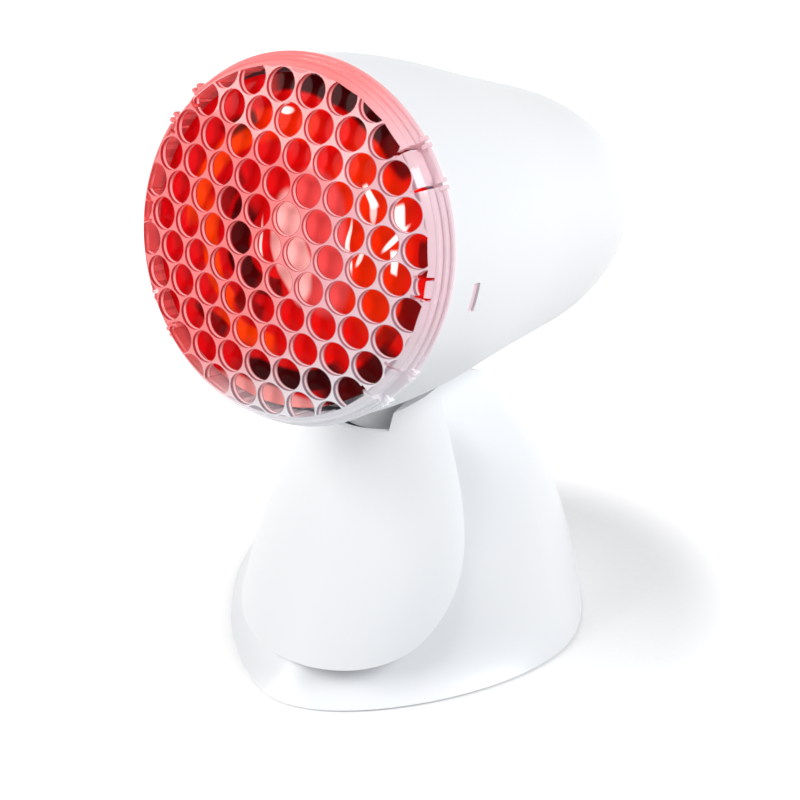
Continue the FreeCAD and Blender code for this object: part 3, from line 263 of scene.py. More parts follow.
    def surface(self, **values: object) -> bpy.types.Material:
        """Puts a Principled surface on the output.

        Args:
            **values: Socket values, with underscores for spaces in the sockets' names.

        Returns:
            The finished material.
        """
        inputs = {key.replace("_", " "): value for key, value in values.items()}
        self.feed(self.output.inputs["Surface"], self.node("BsdfPrincipled", inputs).outputs[0])
        return self.result

    def blend(self, share: Value, first: bpy.types.Node, second: bpy.types.Node) -> None:
        """Puts a mix of two shaders on the output.

        Args:
            share: How much of the second one shows.
            first: The first shader.
            second: The second shader.
        """
        both = self.node("MixShader", {0: share, 1: first.outputs[0], 2: second.outputs[0]})
        self.feed(self.output.inputs["Surface"], both.outputs[0])


# -------------------------------------------------------------------------------------------
# Finishes
# -------------------------------------------------------------------------------------------


@dataclass(frozen=True)
class MouldedPlastic:
    """Injection moulded plastic with a fine skin and a slightly uneven gloss."""

    name: str
    colour: Colour
    shade: Colour
    roughness: float
    skin_scale: float = 5200.0
    skin_depth: float = 0.004 * MM
    gloss: float = 0.5
    skin_strength: float = 0.2
    cloud_scale: float = 9.0
    cloud_fade: Fade = (0.25, 0.75)
    wear_scale: float = 18.0
    wear: float = 0.06

    def make(self) -> bpy.types.Material:
        """Builds the material."""
        shader = Shader(self.name)
        place = shader.place()
        cloud = shader.noise(place, self.cloud_scale, detail=1.0)
        wear = shader.noise(place, self.wear_scale, detail=2.0)
        skin = shader.noise(place, self.skin_scale, detail=2.0)
        return shader.surface(
            Base_Color=shader.mix(shader.between(cloud, *self.cloud_fade),
                                  self.colour, self.shade),
            Roughness=shader.swing(wear, self.roughness, self.wear),
            Specular_IOR_Level=self.gloss,
            Normal=shader.bump(skin, self.skin_depth, self.skin_strength),
        )


@dataclass(frozen=True)
class PlainMetal:
    """Rolled, plated or turned metal with fine level streaks or an even grain.

    The grain's scale is in waves per metre along x, y and z.
    """

    name: str
    colour: Colour
    stain: Colour
    roughness: float
    grain_scale: tuple[float, float, float] = (40.0, 40.0, 900.0)
    grain_gloss: float = 0.22
    grain_depth: float = 0.03 * MM
    grain_strength: float = 0.3
    stain_scale: float = 90.0
    stain_fade: Fade = (0.4, 0.75)

    def make(self) -> bpy.types.Material:
        """Builds the material."""
        shader = Shader(self.name)
        place = shader.place()
        scaled = shader.node("Mapping", {"Vector": place, "Scale": self.grain_scale}).outputs[0]
        grain = shader.noise(scaled, scale=1.0, detail=5.0)
        stains = shader.noise(place, self.stain_scale, detail=3.0)
        return shader.surface(
            Base_Color=shader.mix(shader.between(stains, *self.stain_fade),
                                  self.colour, self.stain),
            Metallic=1.0,
            Roughness=shader.swing(grain, self.roughness, self.grain_gloss),
            Normal=shader.bump(grain, self.grain_depth, self.grain_strength),
        )


@dataclass(frozen=True)
class CastIron:
    """Rough cast iron with a sandy skin."""

    name: str
    colour: Colour
    crest: Colour
    metallic: float = 0.7
    roughness: float = 0.62
    sand_scale: float = 900.0
    crest_fade: Fade = (0.45, 0.7)
    sand_depth: float = 0.3 * MM
    sand_strength: float = 0.8

    def make(self) -> bpy.types.Material:
        """Builds the material."""
        shader = Shader(self.name)
        sand = shader.noise(shader.place(), self.sand_scale, detail=6.0)
        return shader.surface(
            Base_Color=shader.mix(shader.between(sand, *self.crest_fade),
                                  self.colour, self.crest),
            Metallic=self.metallic,
            Roughness=self.roughness,
            Normal=shader.bump(sand, self.sand_depth, self.sand_strength),
        )


@dataclass(frozen=True)
class Rubber:
    """Matt rubber or sleeving with a dusty grain."""

    name: str
    colour: Colour
    dust: Colour
    roughness: float = 0.7
    gloss: float = 0.3
    grain_scale: float = 1500.0
    dust_fade: Fade = (0.45, 0.8)
    grain_depth: float = 0.05 * MM
    grain_strength: float = 0.5

    def make(self) -> bpy.types.Material:
        """Builds the material."""
        shader = Shader(self.name)
        grain = shader.noise(shader.place(), self.grain_scale, detail=4.0)
        return shader.surface(
            Base_Color=shader.mix(shader.between(grain, *self.dust_fade),
                                  self.colour, self.dust),
            Roughness=self.roughness,
            Specular_IOR_Level=self.gloss,
            Normal=shader.bump(grain, self.grain_depth, self.grain_strength),
        )


def turn_about_x(angle: float) -> Euler:
    """A turn about the x axis, by an angle in radians."""
    return Euler((angle, 0.0, 0.0))


@dataclass(frozen=True)
class HeadAxes:
    """The head's own axes: x across, y backwards from the rim and z up, in metres.

    The head lies level at its joint's lower limit, so that limit gives the tilt at rest. The
    pivot is the hinge's middle in the row frame, and pivot_in_head the same point in these axes.
    """

    tilt: float = math.radians(-HEAD_TILT["range_deg"][0])
    pivot: Vector = field(default_factory=lambda: Vector(HEAD_TILT["pos_m"]))
    pivot_in_head: Vector = field(default_factory=lambda: Vector((0, 90.6, -77.6)) * MM)

    def read(self, shader: Shader) -> tuple[Socket, Socket, Socket, Socket]:
        """The surface's place in the head's axes.

        Args:
            shader: The material that reads it.

        Returns:
            The x, y and z sockets and the whole vector.
        """
        turned = self.pivot.copy()
        turned.rotate(turn_about_x(self.tilt))
        inside = shader.node("Mapping", {
            "Vector": shader.place(),
            "Rotation": (self.tilt, 0.0, 0.0),
            "Location": tuple(self.pivot_in_head - turned),
        }).outputs[0]
        return (*shader.node("SeparateXYZ", {0: inside}).outputs, inside)

    def to_row(self, point: Vector) -> Vector:
        """A point in the head's axes, turned into the row frame.

        Args:
            point: The point, in metres.

        Returns:
            The same point in the row frame at rest.
        """
        offset = point - self.pivot_in_head
        offset.rotate(turn_about_x(-self.tilt))
        return self.pivot + offset


@dataclass(frozen=True)
class ClearGuard:
    """Clear moulding with the bulb's red light painted into its colour, most of it in its upper
    left half; it also has a faint painted glow of that colour.

    Each zone's lean says how its edge slants across the face, and each fade is the pair of
    values between which it comes in. The holes have a thin painted dark line around them, as
    painted edge shade, and a painted highlight crescent on their wall, which glows more on the
    lower left side.
    """

    name: str
    # Painted red light: the bulb's red painted into the guard's colour, fading to lilac and to
    # clear.
    painted_red_tint: Colour
    lilac: Colour
    clear: Colour
    # Painted edge shade: the dark line around each hole, in the three colour zones of the face.
    crimson: Colour
    mauve: Colour
    smoke: Colour
    # Painted highlight: the pale colour of the crescent on each hole's wall.
    bright: Colour
    axes: HeadAxes
    lilac_lean: float = -0.25
    lilac_fade: Fade = (-5 * MM, 50 * MM)
    clear_lean: float = -0.35
    clear_fade: Fade = (-30 * MM, -68 * MM)
    pitch: float = 12.9 * MM
    hole_radius: float = 6.0 * MM
    field_radius: float = 60.0 * MM
    field_fade: Fade = (63.0 * MM, 62.0 * MM)
    face_front: float = 16.4 * MM
    face_rise: float = 6.4 * MM
    # Painted edge shade: how wide the line around each hole is, and how much of it shows.
    line: float = 0.25 * MM
    line_share: float = 0.8
    # Painted highlight: the crescent's depth on the hole's wall, its fade and how much of it
    # shows.
    crescent_depth: float = 1.5 * MM
    crescent_fade: Fade = (0.9 * MM, 0.4 * MM)
    crescent_share: float = 0.55
    # Painted glint: the side of each hole that faces the light, where the crescent glows.
    painted_glint_side: tuple[float, float] = (-0.6, -0.8)
    painted_glint_fade: Fade = (0.1, 0.8)
    # Painted glow: the guard emits its own colour, though it is no lamp.
    glow: float = 0.12
    painted_highlight_glow: float = 0.6
    refraction: float = 1.45
    clearness: float = 0.3
    roughness: float = 0.065
    ripple: float = 0.05
    ripple_scale: float = 160.0
    ripple_depth: float = 0.06 * MM
    ripple_strength: float = 0.2

    def nearest_hole(self, shader: Shader, across: Socket,
                     upward: Socket) -> tuple[Socket, Socket, Socket]:
        """The place seen from the nearest hole's middle, on the guard's hexagonal field.

        Args:
            shader: The guard's material.
            across: The place's distance to the right of the middle.
            upward: The place's height above the middle.

        Returns:
            The distance from the hole's middle, to its right and above it, in metres.
        """
        row = self.pitch * math.sqrt(3) / 2
        half = self.pitch / 2
        spots = []
        for shift_x, shift_z in ((0.0, 0.0), (half, row)):
            right = shader.maths("WRAP", shader.plus(across, shift_x), half, -half)
            over = shader.maths("WRAP", shader.plus(upward, shift_z), row, -row)
            spots.append((shader.length(right, over), right, over))
        first, second = spots
        nearer = shader.maths("LESS_THAN", second[0], first[0])

        def picked(here: Socket, there: Socket) -> Socket:
            """The second value where the other row's hole is nearer, and else the first."""
            return shader.sloped(shader.minus(there, here), nearer, here)

        return tuple(picked(here, there) for here, there in zip(first, second))

    def hole_edges(self, shader: Shader, across: Socket, behind: Socket,
                   upward: Socket) -> tuple[Socket, Socket, Socket]:
        """Where the painted shade and the painted highlights on the holes' edges show.

        Args:
            shader: The guard's material.
            across: The place's distance to the right of the middle.
            behind: The place's distance behind the rim.
            upward: The place's height above the middle.

        Returns:
            The painted dark line around each hole, the painted highlight crescent on its wall
            and the part of that which also glows as a painted glint.
        """
        from_axis = shader.length(across, upward)
        holed = shader.between(from_axis, *self.field_fade)
        reach, right, over = self.nearest_hole(shader, across, upward)
        # Painted edge shade: a thin line just outside each hole's mouth.
        edge = shader.between(reach, self.hole_radius + self.line,
                              self.hole_radius + self.line / 2)
        ring = shader.times(edge, holed)

        share = shader.maths("DIVIDE", from_axis, self.field_radius)
        dome = shader.times(shader.times(share, share), self.face_rise)
        depth = shader.minus(shader.plus(behind, self.face_front), dome)
        # Painted highlight: a crescent at a set depth behind the face.
        crescent = shader.between(shader.apart(depth, self.crescent_depth),
                                  *self.crescent_fade)
        wall = shader.times(ring, crescent)

        # Painted glint: the part of the crescent on the side that faces the light.
        to_right, to_top = self.painted_glint_side
        facing = shader.maths("DIVIDE", shader.sloped(over, to_top, shader.times(
            right, to_right)), reach)
        return ring, wall, shader.times(wall, shader.between(facing, *self.painted_glint_fade))

    def make(self) -> bpy.types.Material:
        """Builds the material."""
        shader = Shader(self.name)
        across, behind, upward, _ = self.axes.read(shader)
        # Painted red light over the face: red at the upper left, lilac to the right, clear at
        # the bottom.
        rightward = shader.between(shader.sloped(upward, self.lilac_lean, across),
                                   *self.lilac_fade)
        lowness = shader.between(shader.sloped(across, self.clear_lean, upward),
                                 *self.clear_fade)
        face = shader.mix(lowness, shader.mix(rightward, self.painted_red_tint, self.lilac), self.clear)
        # Painted edge shade: the line colour, by the same zones as the face.
        painted_edge_shade = shader.mix(lowness, shader.mix(rightward, self.crimson, self.mauve),
                             self.smoke)
        ring, wall, lit = self.hole_edges(shader, across, behind, upward)
        colour = shader.mix(shader.times(ring, self.line_share), face, painted_edge_shade)
        # Painted highlight: the crescents on the hole walls.
        colour = shader.mix(shader.times(wall, self.crescent_share), colour, self.bright)
        ripple = shader.noise(shader.place(), self.ripple_scale, detail=1.0)
        return shader.surface(
            Base_Color=colour,
            Roughness=shader.swing(ripple, self.roughness, self.ripple),
            IOR=self.refraction,
            Transmission_Weight=self.clearness,
            # Painted glow: the whole guard glows faintly, and its painted glints glow more.
            Emission_Color=colour,
            Emission_Strength=shader.sloped(lit, self.painted_highlight_glow, self.glow),
            Normal=shader.bump(ripple, self.ripple_depth, self.ripple_strength),
        )


@dataclass(frozen=True)
class PaintedReflectionArc:
    """A painted reflection: an arc of colour standing in for what the reflector shows through
    the red glass; sizes in millimetres, degrees.
    """

    colour: Colour
    radius: float
    width: float
    bearing: float
    spread: float
    strength: float = 1.0
    edge: float = 0.3
    taper: float = 0.2

    def share(self, shader: Shader, across: Socket, upward: Socket) -> Socket:
        """How much of the arc's colour shows at a place.

        Args:
            shader: The lens's material.
            across: The place's distance to the right of the lens's middle.
            upward: The place's height above its middle.

        Returns:
            The share, 0 to 1.
        """
        offset = shader.apart(shader.length(across, upward), self.radius * MM)
        half = self.width * MM / 2
        ring = shader.between(offset, half * (1 + self.edge), half * (1 - self.edge))
        turn = shader.maths("COSINE", shader.minus(
            shader.maths("ARCTAN2", upward, across), math.radians(self.bearing)))
        spread = math.radians(self.spread)
        arc = shader.between(turn, math.cos(spread * (1 + self.taper)),
                             math.cos(spread * (1 - self.taper)))
        return shader.times(shader.times(ring, arc), self.strength)


@dataclass(frozen=True)
class PaintedReflectionOval:
    """A painted reflection: an oval of colour standing in for a mirror image in the red glass;
    sizes in millimetres, its lean in degrees.
    """

    colour: Colour
    across: float
    upward: float
    half_width: float
    half_height: float
    lean: float
    strength: float
    edge: float

    def share(self, shader: Shader, across: Socket, upward: Socket) -> Socket:
        """How much of the patch's colour shows at a place.

        Args:
            shader: The lens's material.
            across: The place's distance to the right of the lens's middle.
            upward: The place's height above its middle.

        Returns:
            The share, 0 to 1.
        """
        right = shader.minus(across, self.across * MM)
        over = shader.minus(upward, self.upward * MM)
        cos, sin = math.cos(math.radians(self.lean)), math.sin(math.radians(self.lean))
        width, height = self.half_width * MM, self.half_height * MM
        along = shader.sloped(right, cos / width, shader.times(over, sin / width))
        aside = shader.sloped(over, cos / height, shader.times(right, -sin / height))
        inside = shader.between(shader.length(along, aside), 1 + self.edge, 1 - self.edge)
        return shader.times(inside, self.strength)


# Painted reflections and painted highlights in the lens.
PaintedReflectionMark = PaintedReflectionArc | PaintedReflectionOval


@dataclass(frozen=True)
class RedLens:
    """Ruby glass in front of the reflector: deep red with painted reflections in lit and dark
    arcs, and painted highlights for the lamps' images.
    """

    name: str
    left: Colour
    right: Colour
    # Painted reflections: lit and dark arcs and ovals that stand in for the reflector's mirror
    # images.
    painted_reflections: tuple[PaintedReflectionMark, ...]
    # Painted highlights: white images of the studio lamps, which also glow.
    highlights: tuple[PaintedReflectionMark, ...]
    axes: HeadAxes
    fade: Fade = (-30 * MM, 30 * MM)
    # The lens emits its painted colours: partly the bulb's own glow, partly painted light that
    # keeps it bright in the guard's shade.
    glow: float = 0.24
    painted_highlight_glow: float = 0.5
    roughness: float = 0.12
    gloss: float = 0.04
    sway: float = 6 * MM
    sway_scale: float = 55.0
    ripple_scale: float = 70.0
    ripple_depth: float = 0.2 * MM
    ripple_strength: float = 0.2

    def make(self) -> bpy.types.Material:
        """Builds the material."""
        shader = Shader(self.name)
        across, _, upward, place = self.axes.read(shader)
        sway = shader.swing(shader.noise(place, self.sway_scale, detail=1.0), 0.0, self.sway)
        across = shader.plus(across, sway)
        upward = shader.plus(upward, sway)
        colour = shader.mix(shader.between(across, *self.fade), self.left, self.right)
        # Painted reflections laid over the red.
        for painted_mark in self.painted_reflections:
            colour = shader.mix(painted_mark.share(shader, across, upward), colour, painted_mark.colour)
        # Painted highlights: laid over the red, and glowing more than the rest.
        strength = self.glow
        for painted_mark in self.highlights:
            share = painted_mark.share(shader, across, upward)
            colour = shader.mix(share, colour, painted_mark.colour)
            strength = shader.sloped(share, self.painted_highlight_glow, strength)
        ripple = shader.noise(place, self.ripple_scale, detail=1.0)
        return shader.surface(
            Base_Color=colour,
            Roughness=self.roughness,
            Specular_IOR_Level=self.gloss,
            Emission_Color=colour,
            Emission_Strength=strength,
            Normal=shader.bump(ripple, self.ripple_depth, self.ripple_strength),
        )


@dataclass(frozen=True)
class Finishes:
    """Every finish of the lamp, each made once, when a piece first asks for it."""

    axes: HeadAxes = field(default_factory=HeadAxes)

    @cached_property
    def white(self) -> bpy.types.Material:
        """The satin white of the housings."""
        return MouldedPlastic("white_housing", srgb(245, 246, 248), srgb(243, 245, 248),
                              0.34).make()

    @cached_property
    def grey(self) -> bpy.types.Material:
        """The grey of the pedestal's floor."""
        return MouldedPlastic("grey_floor", srgb(178, 181, 186), srgb(168, 171, 177),
                              0.5, 1500.0, 0.06 * MM, 0.35).make()

    @cached_property
    def terminal(self) -> bpy.types.Material:
        """The creamy plastic of the terminal block."""
        return MouldedPlastic("terminal_cream", srgb(232, 229, 216), srgb(222, 218, 203),
                              0.55, 1500.0, 0.04 * MM, 0.3).make()

    @cached_property
    def washer(self) -> bpy.types.Material:
        """The slippery plastic of the hinge washers."""
        return MouldedPlastic("washer_natural", srgb(226, 226, 218), srgb(214, 214, 206),
                              0.4, 1800.0, 0.03 * MM, 0.4).make()

    @cached_property
    def ceramic(self) -> bpy.types.Material:
        """The glazed ceramic of the lamp holder."""
        return MouldedPlastic("glazed_ceramic", srgb(240, 237, 228), srgb(230, 226, 214),
                              0.16, 500.0, 0.06 * MM, 0.6).make()

    @cached_property
    def steel(self) -> bpy.types.Material:
        """The zinc plated steel of the stand frame and the bracket."""
        return PlainMetal("zinc_plate", srgb(196, 199, 204), srgb(170, 174, 182), 0.34).make()

    @cached_property
    def spring(self) -> bpy.types.Material:
        """The blued spring steel of the detent leaf."""
        return PlainMetal("blued_spring", srgb(112, 116, 128), srgb(78, 84, 104), 0.28).make()

    @cached_property
    def screw(self) -> bpy.types.Material:
        """The plating of the screws and pins."""
        return PlainMetal("screw_plating", srgb(188, 190, 194), srgb(150, 152, 158), 0.26,
                          (300.0, 300.0, 300.0)).make()

    @cached_property
    def aluminium(self) -> bpy.types.Material:
        """The plain aluminium of the heat shield."""
        return PlainMetal("shield_aluminium", srgb(214, 215, 218), srgb(188, 190, 196),
                          0.3).make()

    @cached_property
    def brass(self) -> bpy.types.Material:
        """The brass of the bulb's cap, its sleeve and the contacts."""
        return PlainMetal("turned_brass", srgb(208, 172, 98), srgb(172, 134, 66), 0.25).make()

    @cached_property
    def silvered(self) -> bpy.types.Material:
        """The silvered glass of the bulb's bowl."""
        return PlainMetal("silvered_bowl", srgb(226, 227, 230), srgb(208, 210, 216), 0.16,
                          (25.0, 25.0, 25.0)).make()

    @cached_property
    def filament(self) -> bpy.types.Material:
        """The dull wire of the filament."""
        return PlainMetal("filament_wire", srgb(132, 130, 130), srgb(96, 92, 92), 0.42).make()

    @cached_property
    def iron(self) -> bpy.types.Material:
        """The cast iron of the ballast."""
        return CastIron("cast_ballast", srgb(66, 67, 70), srgb(112, 113, 116)).make()

    @cached_property
    def rubber(self) -> bpy.types.Material:
        """The black rubber of the feet and the bush."""
        return Rubber("foot_rubber", srgb(34, 35, 37), srgb(64, 65, 68)).make()

    @cached_property
    def sleeving(self) -> bpy.types.Material:
        """The pale heat-proof sleeving of the leads."""
        return Rubber("lead_sleeving", srgb(222, 220, 212), srgb(204, 201, 190), 0.6).make()

    @cached_property
    def guard(self) -> bpy.types.Material:
        """The clear guard with the bulb's red painted into it, and painted edge shade and
        highlights at its holes.
        """
        return ClearGuard(
            "clear_guard",
            # Painted red light and its lilac and clear fades.
            painted_red_tint=srgb(255, 142, 142),
            lilac=srgb(245, 218, 226),
            clear=srgb(246, 246, 250),
            # Painted edge shade around the holes.
            crimson=srgb(196, 30, 48),
            mauve=srgb(150, 106, 124),
            smoke=srgb(140, 136, 146),
            # Painted highlight on the hole walls.
            bright=srgb(255, 226, 226),
            axes=self.axes,
        ).make()

    @cached_property
    def lens(self) -> bpy.types.Material:
        """The red lens with painted reflections of what its reflector shows, and painted
        highlights.
        """
        # Colours of the painted reflections and painted highlights on the lens.
        orange = srgb(240, 62, 4)
        ember = srgb(238, 44, 4)
        maroon = srgb(96, 8, 10)
        dark = srgb(58, 4, 6)
        rose = srgb(236, 84, 84)
        pale = srgb(252, 196, 192)
        white = srgb(255, 248, 242)
        # Painted reflections: orange and ember where the bowl mirrors light, maroon and dark
        # where it mirrors shade, and rose and pale ovals.
        painted_reflections = (
            PaintedReflectionArc(ember, 40, 26, 14, 44, 0.9, 0.5),
            PaintedReflectionArc(ember, 43, 11, 104, 24, 0.9),
            PaintedReflectionArc(orange, 41, 8, 150, 30),
            PaintedReflectionArc(orange, 33, 7, 200, 34),
            PaintedReflectionArc(orange, 38, 8, 252, 20),
            PaintedReflectionArc(maroon, 29, 6, 152, 18, 0.75),
            PaintedReflectionArc(maroon, 28, 7, 248, 14, 0.8),
            PaintedReflectionArc(dark, 19, 11, 196, 52, 0.95, 0.15),
            PaintedReflectionArc(maroon, 17, 8, 262, 16, 0.9, 0.2),
            PaintedReflectionArc(dark, 46, 6, 124, 9, 0.9, 0.5),
            PaintedReflectionArc(dark, 59, 10, 76, 28, 1.0, 0.2),
            PaintedReflectionArc(maroon, 58, 8, 44, 8, 0.9),
            PaintedReflectionArc(dark, 50, 8, -78, 26, 1.0, 0.25),
            PaintedReflectionArc(dark, 57, 9, -48, 18, 0.95, 0.25),
            PaintedReflectionArc(maroon, 46, 7, -129, 10, 0.85),
            PaintedReflectionArc(maroon, 56, 8, -14, 8, 0.85, 0.2),
            PaintedReflectionArc(maroon, 52, 6, -32, 9, 0.6, 0.2),
            PaintedReflectionArc(maroon, 60, 6, 8, 6, 0.8, 0.2),
            PaintedReflectionOval(rose, 16, 4, 13, 26, 18, 0.9, 0.1),
            PaintedReflectionOval(pale, 5.5, -0.5, 7.8, 20, 19, 0.9, 0.1),
            PaintedReflectionOval(orange, -27, -16, 0.7, 8, 14, 1.0, 0.3),
            PaintedReflectionOval(pale, 0, -57.5, 30, 4, 0, 0.6, 0.3),
        )
        # Painted highlights: white images of the studio lamps.
        highlights = (
            PaintedReflectionArc(white, 41, 2.6, 36, 6),
            PaintedReflectionOval(white, 35, 20, 1.2, 5, 20, 0.7, 0.3),
            PaintedReflectionArc(white, 49, 3, 21, 6),
            PaintedReflectionOval(white, 45.5, 12, 1.0, 6, -35, 1.0, 0.3),
            PaintedReflectionArc(white, 47, 3, 5, 5),
            PaintedReflectionOval(white, 29.5, 6, 0.7, 9, 8, 0.9, 0.3),
            PaintedReflectionOval(white, 33.5, 2.5, 0.8, 3.5, -20, 0.8, 0.3),
            PaintedReflectionOval(white, -6.5, 46.5, 3, 1.2, 8, 0.9, 0.3),
            PaintedReflectionOval(white, -7.2, -2, 0.7, 9, 10, 0.6, 0.3),
        )
        return RedLens("ruby_lens", srgb(204, 8, 16), srgb(226, 14, 10), painted_reflections, highlights,
                       self.axes).make()


# -------------------------------------------------------------------------------------------
# The lamp
# -------------------------------------------------------------------------------------------


def add(name: str, data: bpy.types.ID) -> bpy.types.Object:
    """Adds an object to the scene.

    Args:
        name: Its name.
        data: Its mesh, curve, light or camera.

    Returns:
        The new object.
    """
    thing = bpy.data.objects.new(name, data)
    bpy.context.scene.collection.objects.link(thing)
    return thing


def dress(material: bpy.types.Material, *nodes: str) -> list[str]:
    """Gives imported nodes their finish.

    Args:
        material: The finish.
        *nodes: The nodes' names.

    Returns:
        The nodes' names.
    """
    for node in nodes:
        slots = frame["nodes"][node].data.materials
        slots.clear()
        slots.append(material)
    return list(nodes)


@dataclass
class Housing:
    """The white shells of the head and the pedestal, and the arm between them."""

    nodes: tuple[str, ...] = ("head_shell", "base_back_shell", "base_front_cover", "tilt_arm")

    def build(self, finishes: Finishes) -> list[str]:
        """Dresses the shells.

        Args:
            finishes: The lamp's finishes.

        Returns:
            The pieces' names.
        """
        return dress(finishes.white, *self.nodes)


@dataclass
class Filament:
    """A coiled wire between the filament's two supports, within the plain one's thickness."""

    centre: Vector = field(default_factory=lambda: Vector((0, 46.6, 0)) * MM)
    length: float = 24 * MM
    coil_radius: float = 0.95 * MM
    wire_radius: float = 0.2 * MM
    wire_roundness: int = 2
    turns: int = 22
    steps: int = 12

    def spiral(self) -> list[Vector]:
        """The wire's path, in the head's axes."""
        count = self.turns * self.steps
        path = []
        for index in range(count + 1):
            share = index / count
            angle = 2 * math.pi * self.turns * share
            path.append(self.centre + Vector((
                (share - 0.5) * self.length,
                self.coil_radius * math.cos(angle),
                self.coil_radius * math.sin(angle),
            )))
        return path

    def build(self, axes: HeadAxes) -> bpy.types.Object:
        """Makes the coil as a mesh tube.

        Args:
            axes: The head's axes.

        Returns:
            The new piece.
        """
        path = [axes.to_row(point) for point in self.spiral()]
        curve = bpy.data.curves.new("filament_path", "CURVE")
        curve.dimensions = "3D"
        curve.bevel_depth = self.wire_radius
        curve.bevel_resolution = self.wire_roundness
        spline = curve.splines.new("POLY")
        spline.points.add(len(path) - 1)
        for point, spot in zip(spline.points, path):
            point.co = (*spot, 1.0)
        wire = add("filament_path", curve)
        mesh = bpy.data.meshes.new_from_object(wire)
        bpy.data.objects.remove(wire)
        for face in mesh.polygons:
            face.use_smooth = True
        return add("filament_coil", mesh)


@dataclass
class Bulb:
    """The reflector bulb: red lens, silvered bowl, cap, contacts and filament."""

    filament: Filament = field(default_factory=Filament)
    brass: tuple[str, ...] = ("bulb_cap", "bulb_tip", "holder_sleeve", "holder_contact")

    def build(self, finishes: Finishes) -> list[str]:
        """Dresses the bulb and adds its filament's coil.

        Args:
            finishes: The lamp's finishes.

        Returns:
            The pieces' names.
        """
        coil = self.filament.build(finishes.axes)
        coil.data.materials.append(finishes.filament)
        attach(coil, "head")
        return [
            *dress(finishes.lens, "bulb_lens"),
            *dress(finishes.silvered, "bulb_glass"),
            *dress(finishes.brass, *self.brass),
            *dress(finishes.filament, "bulb_filament"),
            coil.name,
        ]


@dataclass
class HeadInside:
    """What carries the bulb: holder, bracket, screws and heat shield, and the guard in front."""

    screws: tuple[str, ...] = ("holder_screws", "arm_screws")

    def build(self, finishes: Finishes) -> list[str]:
        """Dresses the pieces inside the head and its guard.

        Args:
            finishes: The lamp's finishes.

        Returns:
            The pieces' names.
        """
        return [
            *dress(finishes.guard, "guard_grille"),
            *dress(finishes.ceramic, "lamp_holder"),
            *dress(finishes.steel, "holder_bracket"),
            *dress(finishes.screw, *self.screws),
            *dress(finishes.aluminium, "heat_shield"),
            *dress(finishes.sleeving, "head_lead"),
        ]


@dataclass
class PedestalInside:
    """The frame, hinge, floor, ballast and wiring of the pedestal."""

    screws: tuple[str, ...] = ("pivot_pins", "base_screws", "frame_screws", "cover_screws",
                               "terminal_screws")
    rubbers: tuple[str, ...] = ("rubber_feet", "cord_bush")

    def build(self, finishes: Finishes) -> list[str]:
        """Dresses the pieces inside and under the pedestal.

        Args:
            finishes: The lamp's finishes.

        Returns:
            The pieces' names.
        """
        return [
            *dress(finishes.steel, "stand_frame"),
            *dress(finishes.spring, "detent_leaf"),
            *dress(finishes.washer, "hinge_washers"),
            *dress(finishes.grey, "base_plate"),
            *dress(finishes.iron, "ballast_weight"),
            *dress(finishes.terminal, "terminal_block"),
            *dress(finishes.sleeving, "base_lead"),
            *dress(finishes.screw, *self.screws),
            *dress(finishes.rubber, *self.rubbers),
        ]


# -------------------------------------------------------------------------------------------
# Studio
# -------------------------------------------------------------------------------------------


def point_at(thing: bpy.types.Object, spot: Point, aim: Point) -> None:
    """Places a camera or a lamp and turns it towards a point.

    Args:
        thing: The camera or the lamp.
        spot: Where it stands.
        aim: Where it looks.
    """
    thing.location = spot
    thing.rotation_mode = "QUATERNION"
    thing.rotation_quaternion = (Vector(aim) - Vector(spot)).to_track_quat("-Z", "Y")


@dataclass
class SoftBox:
    """One soft area lamp, aimed at a point."""

    name: str
    spot: Point
    aim: Point
    width: float
    height: float
    power: float
    colour: Colour

    def build(self) -> None:
        """Hangs the lamp."""
        light = bpy.data.lights.new(self.name, "AREA")
        light.shape = "RECTANGLE"
        light.size = self.width
        light.size_y = self.height
        light.energy = self.power
        light.color = self.colour
        point_at(add(self.name, light), self.spot, self.aim)


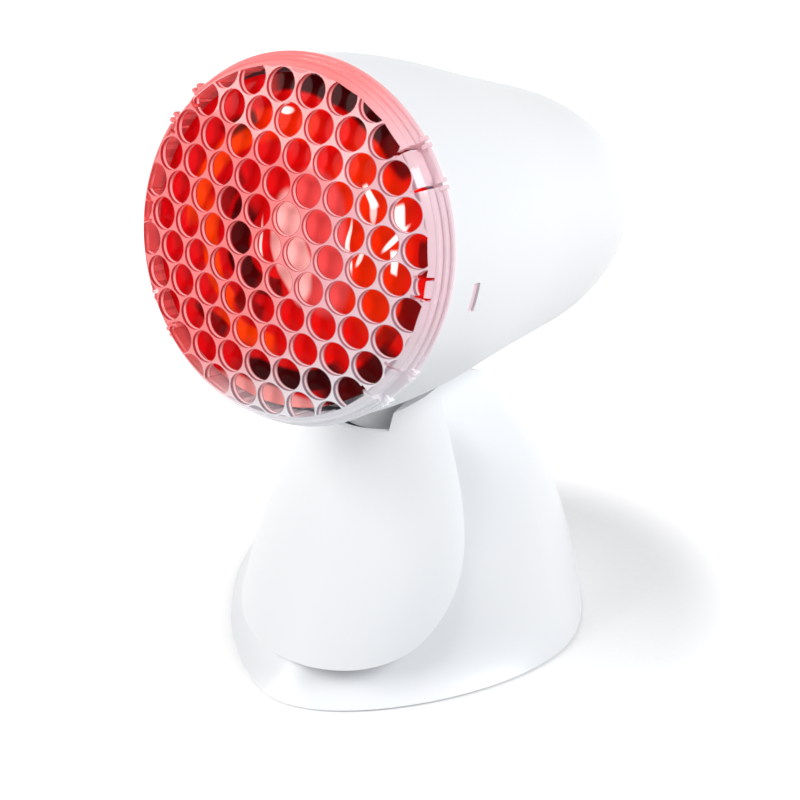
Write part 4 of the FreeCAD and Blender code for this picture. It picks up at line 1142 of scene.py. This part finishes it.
@dataclass
class Studio:
    """Camera, floor, white surround and lamps.

    What the eye sees of the surround and of the floor far from the lamp is plain white. The
    lamp itself is lit by a dim surround and by paper that is darker than the floor looks.
    """

    camera_spot: Point = (0.33605, -0.50679, 0.44228)
    camera_aim: Point = (-0.0032, 0.0, 0.0972)
    lens: float = 74.25
    sensor: float = 36.0
    nearest: float = 0.01
    surround: float = 0.17
    surround_cast: Colour = (0.93, 0.965, 1.0)
    floor_half: float = 3.0
    floor_drop: float = 0.2 * MM
    floor_glow: float = 1.3
    floor_share: float = 0.15
    floor_fade: Fade = (0.085, 0.15)
    shadow_middle: Point = (0.03, 0.012, 0.0)
    paper: Colour = (0.93, 0.93, 0.935)
    paper_grain: Colour = (0.915, 0.915, 0.92)
    paper_cast: Colour = (0.55, 0.555, 0.56)
    grain_scale: float = 400.0
    grain_fade: Fade = (0.3, 0.7)
    lamps: tuple[SoftBox, ...] = (
        SoftBox("key_lamp", (-0.75, -1.0, 0.95), (0.0, 0.0, 0.12), 0.9, 0.9, 17.5,
                (1.0, 0.995, 0.985)),
        SoftBox("side_lamp", (1.25, 0.25, 1.05), (0.0, 0.0, 0.14), 0.8, 0.8, 19.0,
                (0.99, 0.995, 1.0)),
    )

    def camera(self) -> None:
        """Sets up the camera."""
        data = bpy.data.cameras.new("camera")
        data.lens = self.lens
        data.sensor_width = self.sensor
        data.clip_start = self.nearest
        camera = add("camera", data)
        point_at(camera, self.camera_spot, self.camera_aim)
        bpy.context.scene.camera = camera

    def world(self) -> None:
        """Lights the lamp softly from all around, and shows the surround white."""
        shader = Shader("surround", Owner.SURROUND)
        dim = shader.node("Background", {"Color": self.surround_cast,
                                         "Strength": self.surround})
        bright = shader.node("Background", {"Color": FULL_WHITE, "Strength": 1.0})
        shader.blend(shader.seen(), dim, bright)
        bpy.context.scene.world = shader.result

    def floor_finish(self) -> bpy.types.Material:
        """Pale paper that shows the shadow and fades to plain white away from it."""
        shader = Shader("floor_paper")
        seen = shader.seen()
        place = shader.place()
        grain = shader.between(shader.noise(place, self.grain_scale, detail=3.0),
                               *self.grain_fade)
        pale = shader.mix(grain, self.paper, self.paper_grain)
        paper = shader.node("BsdfDiffuse", {"Color": shader.mix(seen, self.paper_cast, pale)})
        glow = shader.node("Emission", {"Color": FULL_WHITE, "Strength": self.floor_glow})
        reach = shader.node("VectorMath", {0: place, 1: self.shadow_middle},
                            operation="DISTANCE").outputs["Value"]
        fade = shader.between(reach, *self.floor_fade)
        share = shader.sloped(fade, 1.0 - self.floor_share, self.floor_share)
        shader.blend(shader.times(seen, share), paper, glow)
        return shader.result

    def floor(self) -> None:
        """Lays the floor just under the feet."""
        half = self.floor_half
        corners = [(-half, -half, 0), (half, -half, 0), (half, half, 0), (-half, half, 0)]
        mesh = bpy.data.meshes.new("floor")
        mesh.from_pydata(corners, [], [(0, 1, 2, 3)])
        mesh.materials.append(self.floor_finish())
        floor = add("floor", mesh)
        floor.location = (0, 0, -self.floor_drop)

    def build(self) -> None:
        """Builds the studio."""
        bpy.context.scene.view_settings.view_transform = "Standard"
        self.camera()
        self.world()
        self.floor()
        for lamp in self.lamps:
            lamp.build()


def main() -> None:
    """Builds the studio and dresses the lamp, piece by piece."""
    logging.basicConfig(level=logging.INFO, format="%(name)s: %(message)s")
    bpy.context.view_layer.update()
    Studio().build()
    finishes = Finishes()
    for part in (Housing(), HeadInside(), Bulb(), PedestalInside()):
        for name in part.build(finishes):
            LOG.info("%s: %s", type(part).__name__, name)


if __name__ == "__main__":
    main()
